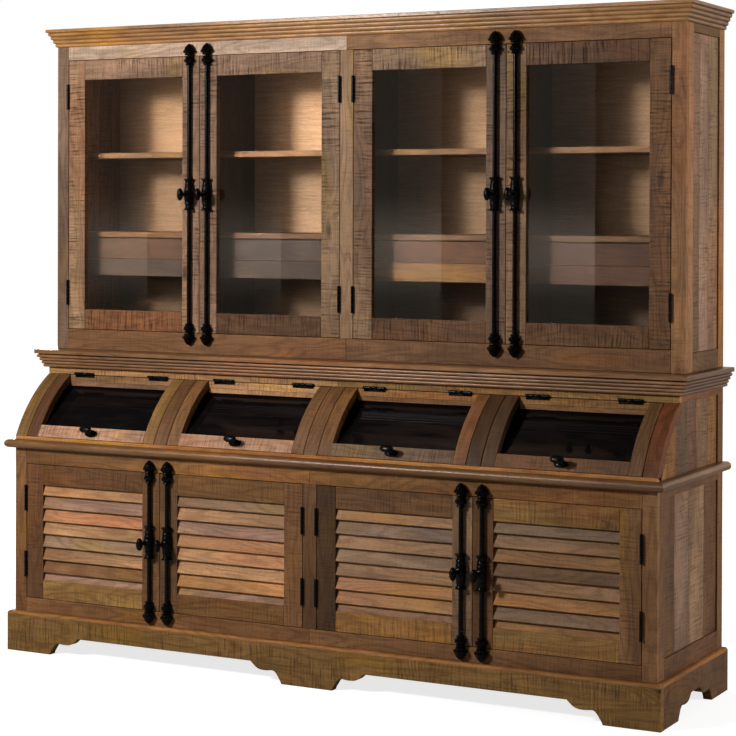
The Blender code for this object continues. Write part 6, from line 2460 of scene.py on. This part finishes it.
@dataclass
class Studio:
    """A white studio: floor, dim room, three soft lamps and a camera at the photograph's viewing angle."""

    camera_place: Triple = (3.3241, -6.0669, 1.5432)
    yaw: float = math.radians(27.973)
    pitch: float = math.radians(-0.532)
    roll: float = math.radians(0.179)
    focal_pixels: float = 2055.97
    centre_pixel: Span = (376.19, 231.84)
    sensor: float = 36.0
    floor_size: float = 20.0
    floor_glow: Span = (0.78, 1.0)
    floor_reach: Span = (2.0, 5.5)
    floor_tone: float = 0.45
    floor_roughness: float = 0.9
    ambient: float = 0.15
    behind_glass: float = 0.30
    lamps: tuple[Lamp, ...] = (
        Lamp("key_lamp", (-1.56, -3.3, 2.56), 160.0, 0.5), Lamp("fill_lamp", (5.2, 0.75, 1.9), 140.0, 1.2),
        Lamp("back_lamp", (-3.6, 4.2, 2.6), 280.0, 1.5),
    )
    target: Triple = (0.1, 0.0, 1.0)
    room_gloss: float = 0.03
    wall_gloss: float = 1.0
    wall_top: Span = (0.35, 0.60)
    veil_spans: tuple[Triple, ...] = (
        (0.4020, 0.452, 1.5), (0.4912, 0.549, 1.5), (0.5919, 0.645, 0.9), (0.6828, 0.75, 0.9),
    )
    room_tint: Triple = (1.0, 0.84, 0.68)
    least_ahead: float = -0.001
    veil_gloss: float = 0.14
    veil_peak: float = 0.46
    veil_levels: Triple = (-0.045, -0.018, 0.012)

    def camera(self) -> None:
        """Places the camera.

        Its axes are right, up and backwards, turned by the yaw, pitch and roll, and its shift moves the
        frame by the distance of the optical axis from the picture's centre.
        """
        flat = math.cos(self.pitch)
        forward = Vector((-math.sin(self.yaw) * flat, math.cos(self.yaw) * flat, math.sin(self.pitch)))
        level = Vector((math.cos(self.yaw), math.sin(self.yaw), 0.0))
        upright = level.cross(forward)
        right = level * math.cos(self.roll) + upright * math.sin(self.roll)
        up = upright * math.cos(self.roll) - level * math.sin(self.roll)
        data = bpy.data.cameras.new("camera")
        data.sensor_width = self.sensor
        data.lens = self.focal_pixels * self.sensor / IMAGE_SIZE
        data.shift_x = (IMAGE_SIZE / 2 - self.centre_pixel[0]) / IMAGE_SIZE
        data.shift_y = (self.centre_pixel[1] - IMAGE_SIZE / 2) / IMAGE_SIZE
        item = bpy.data.objects.new("camera", data)
        bpy.context.scene.collection.objects.link(item)
        turn = Matrix((right, up, -forward)).transposed().to_4x4()
        item.matrix_world = Matrix.Translation(self.camera_place) @ turn
        bpy.context.scene.camera = item

    def hang(self, lamp: Lamp) -> None:
        """Hangs a lamp and points it at the cabinet.

        Args:
            lamp: The lamp.
        """
        data = bpy.data.lights.new(lamp.name, "AREA")
        data.energy, data.shape, data.size = lamp.power, "SQUARE", lamp.size
        item = bpy.data.objects.new(lamp.name, data)
        bpy.context.scene.collection.objects.link(item)
        item.location = lamp.place
        item.rotation_euler = (Vector(self.target) - Vector(lamp.place)).to_track_quat("-Z", "Y").to_euler()

    def seen(self, graph: Graph) -> Socket:
        """1 for what the camera sees, directly or through glass, and 0 for rays that light something.

        Args:
            graph: The node tree that asks.

        Returns:
            The mask.
        """
        path = graph.node("ShaderNodeLightPath").outputs
        bounced = graph.math("ADD", path["Diffuse Depth"], path["Glossy Depth"])
        through = graph.times(path["Is Transmission Ray"], graph.math("LESS_THAN", bounced, 0.5))
        return graph.math("MAXIMUM", path["Is Camera Ray"], through)

    def room(self, graph: Graph) -> Socket:
        """Brightness of the room that glossy surfaces reflect.

        Behind the cabinet a pale wall rises to a soft edge. In front it is dim, apart from upright bands on
        the left. Each band has a level of its own, lies where one glazed door mirrors it, and is brightest
        near eye level.

        Args:
            graph: The world's node tree.

        Returns:
            The brightness.
        """
        way = graph.node("ShaderNodeTexCoord").outputs["Generated"]
        across, ahead, rise = graph.node("ShaderNodeSeparateXYZ", {"Vector": way}).outputs
        slope = graph.math("DIVIDE", across, graph.math("MINIMUM", ahead, self.least_ahead))
        bands: object = 0.0
        for low, high, level in self.veil_spans:
            inside = graph.times(graph.math("GREATER_THAN", slope, low), graph.math("LESS_THAN", slope, high))
            bands = graph.math("MULTIPLY_ADD", inside, level, bands)
        low, eye, high = self.veil_levels
        peak = graph.times(graph.between(rise, low, eye), graph.between(rise, eye, high, 1.0, 0.0))
        veil = graph.times(bands, graph.math("MULTIPLY_ADD", peak, self.veil_peak, self.veil_gloss))
        wall = graph.times(graph.math("GREATER_THAN", ahead, 0.0),
                           graph.between(rise, *self.wall_top, self.wall_gloss, 0.0))
        return graph.math("ADD", graph.math("ADD", veil, wall), self.room_gloss)

    def world(self) -> None:
        """Lights the room.

        Its light is even, and dimmer behind glass. Glossy surfaces see the room in a warm tint, and the
        camera sees white, through glass too.
        """
        world = bpy.data.worlds.new("studio")
        world.use_nodes = True
        bpy.context.scene.world = world
        graph = Graph(world.node_tree)
        plain = world.node_tree.nodes["Background"]
        seen = self.seen(graph)
        path = graph.node("ShaderNodeLightPath").outputs
        glossy = graph.times(graph.math("GREATER_THAN", path["Glossy Depth"], 0.5),
                             graph.math("LESS_THAN", path["Diffuse Depth"], 0.5))
        graph.put(plain.inputs["Color"], graph.mix(glossy, WHITE, (*self.room_tint, 1.0)))
        glazed = graph.math("GREATER_THAN", path["Transmission Depth"], 0.5)
        even = graph.between(glazed, 0.0, 1.0, self.ambient, self.ambient * self.behind_glass)
        dim = graph.math("MULTIPLY_ADD", graph.math("SUBTRACT", self.room(graph), even), glossy, even)
        graph.put(plain.inputs["Strength"], graph.math("MAXIMUM", seen, dim))

    def floor(self) -> None:
        """Lays the floor.

        It glows to the camera, whiter with distance where the lamps no longer reach, and its lit part keeps
        the cabinet's shadow.
        """
        half = self.floor_size / 2
        mesh = bpy.data.meshes.new("floor")
        mesh.from_pydata([(-half, -half, 0.0), (half, -half, 0.0), (half, half, 0.0), (-half, half, 0.0)], [],
                         [(0, 1, 2, 3)])
        material, graph, shader = plain_material("studio_floor")
        shader.inputs["Base Color"].default_value = (*(self.floor_tone,) * 3, 1.0)
        shader.inputs["Roughness"].default_value = self.floor_roughness
        shader.inputs["Specular IOR Level"].default_value = 0.0
        way = graph.node("ShaderNodeVectorMath", operation="LENGTH")
        graph.put(way.inputs[0], graph.node("ShaderNodeTexCoord").outputs["Object"])
        strength = graph.between(way.outputs["Value"], *self.floor_reach, *self.floor_glow)
        glow = graph.node("ShaderNodeEmission", {"Color": WHITE,
                                                 "Strength": graph.times(self.seen(graph), strength)})
        total = graph.node("ShaderNodeAddShader")
        graph.put(total.inputs[0], shader.outputs[0])
        graph.put(total.inputs[1], glow.outputs[0])
        graph.put(material.node_tree.nodes["Material Output"].inputs["Surface"], total.outputs[0])
        mesh.materials.append(material)
        item = bpy.data.objects.new("floor", mesh)
        bpy.context.scene.collection.objects.link(item)

    def build(self) -> None:
        """Builds the whole studio."""
        bpy.context.scene.view_settings.view_transform = "Standard"
        self.camera()
        self.world()
        self.floor()
        for lamp in self.lamps:
            self.hang(lamp)


def base_doors(carcass: Carcass, leaves: list[Leaf]) -> list[LouvredDoor]:
    """Chooses the boards of the four louvred doors.

    Args:
        carcass: The carcass.
        leaves: Where the doors lie.

    Returns:
        The doors.
    """
    frames = (
        (Tone.CHESTNUT.at(0.8), Tone.WALNUT, Tone.CHESTNUT.at(0.62), Tone.OLIVE.at(1.4)),
        (Tone.WALNUT, Tone.CHESTNUT.at(1.1), Tone.GOLD.at(0.58), Tone.GOLD.at(0.6)),
        (Tone.WALNUT.at(0.44), Tone.SMOKE.at(0.8), Tone.WALNUT, Tone.GOLD.at(0.9)),
        (Tone.WALNUT, Tone.CHESTNUT.at(1.2), Tone.OLIVE.at(0.85), Tone.OLIVE.at(1.4)),
    )
    slats = (
        (Tone.TAN, Tone.ROSE.at(0.8), Tone.PEACH, Tone.TAN, Tone.SMOKE, Tone.TAN, Tone.CHESTNUT, Tone.ROSE),
        (Tone.SMOKE, Tone.TAN.at(0.9), Tone.ROSE, Tone.TAN.at(0.8), Tone.TAN, Tone.TAN, Tone.HONEY,
         Tone.ROSE),
        (Tone.TAN.at(0.8), Tone.ROSE.at(0.6), Tone.TAN.at(0.8), Tone.SMOKE, Tone.TAN.at(0.7),
         Tone.PEACH.at(0.7), Tone.TAN.at(0.8), Tone.SMOKE),
        (Tone.SMOKE.at(0.7), Tone.TAN.at(0.6), Tone.GOLD.at(0.9), Tone.CHESTNUT.at(0.8), Tone.TAN.at(0.6),
         Tone.GOLD, Tone.SMOKE.at(0.8), Tone.GOLD.at(0.8)),
    )
    return [LouvredDoor(carcass, leaf, stains=stains, slat_stains=row)
            for leaf, stains, row in zip(leaves, frames, slats)]


def hutch_doors(carcass: Carcass, leaves: list[Leaf]) -> list[GlazedDoor]:
    """Chooses the boards of the four glazed doors.

    Args:
        carcass: The carcass.
        leaves: Where the doors lie.

    Returns:
        The doors.
    """
    frames = (
        (Tone.SMOKE, Tone.MAUVE.at(1.25), Tone.MAUVE.at(1.2), Tone.WALNUT.at(1.4)),
        (Tone.MAUVE.at(0.9), Tone.SMOKE.at(0.78), Tone.MAUVE.at(1.1), Tone.WALNUT.at(0.7)),
        (Tone.SMOKE.at(0.72), Tone.MAUVE.at(0.75), Tone.SMOKE.at(1.05), Tone.WALNUT.at(0.95)),
        (Tone.SMOKE.at(0.75), Tone.WALNUT.at(1.2), Tone.WALNUT, Tone.WALNUT.at(0.85)),
    )
    return [GlazedDoor(carcass, leaf, stains=stains) for leaf, stains in zip(leaves, frames)]


def main() -> None:
    """Builds the studio and the cabinet's sub-assemblies from the floor up."""
    logging.basicConfig(level=logging.INFO, format="%(message)s")
    carcass = Carcass()
    Studio().build()
    shop = Workshop()
    Plinth(carcass, carcass.base_depth, (Tone.GOLD, Tone.GOLD.at(0.9), Tone.GOLD.at(0.9))).build(shop)
    base, hutch = BaseCase(carcass), HutchCase(carcass)
    base.build(shop)
    ledge_stains = (Tone.GOLD, Tone.CHESTNUT.at(0.80), Tone.CHESTNUT.at(0.66))
    Ledge(carcass, carcass.base_depth, ledge_stains).build(shop)
    sweep = Sweep(carcass)
    rolltop = RollTop(carcass, sweep)
    rolltop.build(shop)
    flap_stains = (
        (Tone.WALNUT.at(0.9), Tone.OLIVE, Tone.ROSE.at(1.05), Tone.TAN.at(0.65), Tone.ROSE.at(0.62)),
        (Tone.CHESTNUT, Tone.CHESTNUT.at(0.9), Tone.ROSE, Tone.TAN.at(1.15), Tone.TAN.at(1.15)),
        (Tone.CHESTNUT, Tone.CHESTNUT, Tone.SMOKE.at(0.6), Tone.GOLD, Tone.CHESTNUT),
        (Tone.UMBER, Tone.WALNUT, Tone.CHESTNUT.at(0.85), Tone.GOLD.at(1.1), Tone.CHESTNUT.at(1.1)),
    )
    flaps = [Flap(carcass, sweep, number, opening, stains)
             for number, (opening, stains) in enumerate(zip(rolltop.openings(), flap_stains), start=1)]
    for flap in flaps:
        flap.build(shop)
    waist_stains = (Tone.CHESTNUT, Tone.CHESTNUT.at(1.05), Tone.REDDISH.at(0.38))
    Waist(carcass, carcass.bin_depth, waist_stains).build(shop)
    hutch.build(shop)
    crown_stains = (Tone.CHESTNUT, Tone.HONEY.at(0.72), Tone.CHESTNUT.at(0.92))
    Crown(carcass, carcass.hutch_depth, crown_stains).build(shop)
    # Drawer fronts: dark stains, darkened further as painted shade where the lamps don't reach behind the
    # glass.
    drawer_stains_and_shade = (
        (Tone.CHESTNUT.at(0.30), Tone.MAUVE.at(0.26)), (Tone.MAUVE.at(0.22), Tone.MAUVE.at(0.24)),
        (Tone.REDDISH.at(0.36), Tone.GOLD.at(0.52)), (Tone.REDDISH.at(0.36), Tone.REDDISH.at(0.42)),
    )
    for number, stains in enumerate(drawer_stains_and_shade, start=1):
        InnerDrawer(carcass, hutch, number, stains).build(shop)
    base_leaves = door_leaves(carcass, "base_door", carcass.base_depth, base.opening(), base.hinge_inset)
    hutch_leaves = door_leaves(carcass, "hutch_door", carcass.hutch_depth, hutch.opening(), hutch.hinge_inset)
    for door in (*base_doors(carcass, base_leaves), *hutch_doors(carcass, hutch_leaves)):
        door.build(shop)
    CabinetIron(carcass).build(shop, [(base_leaves, base.opening()), (hutch_leaves, hutch.opening())], flaps)


if __name__ == "__main__":
    main()
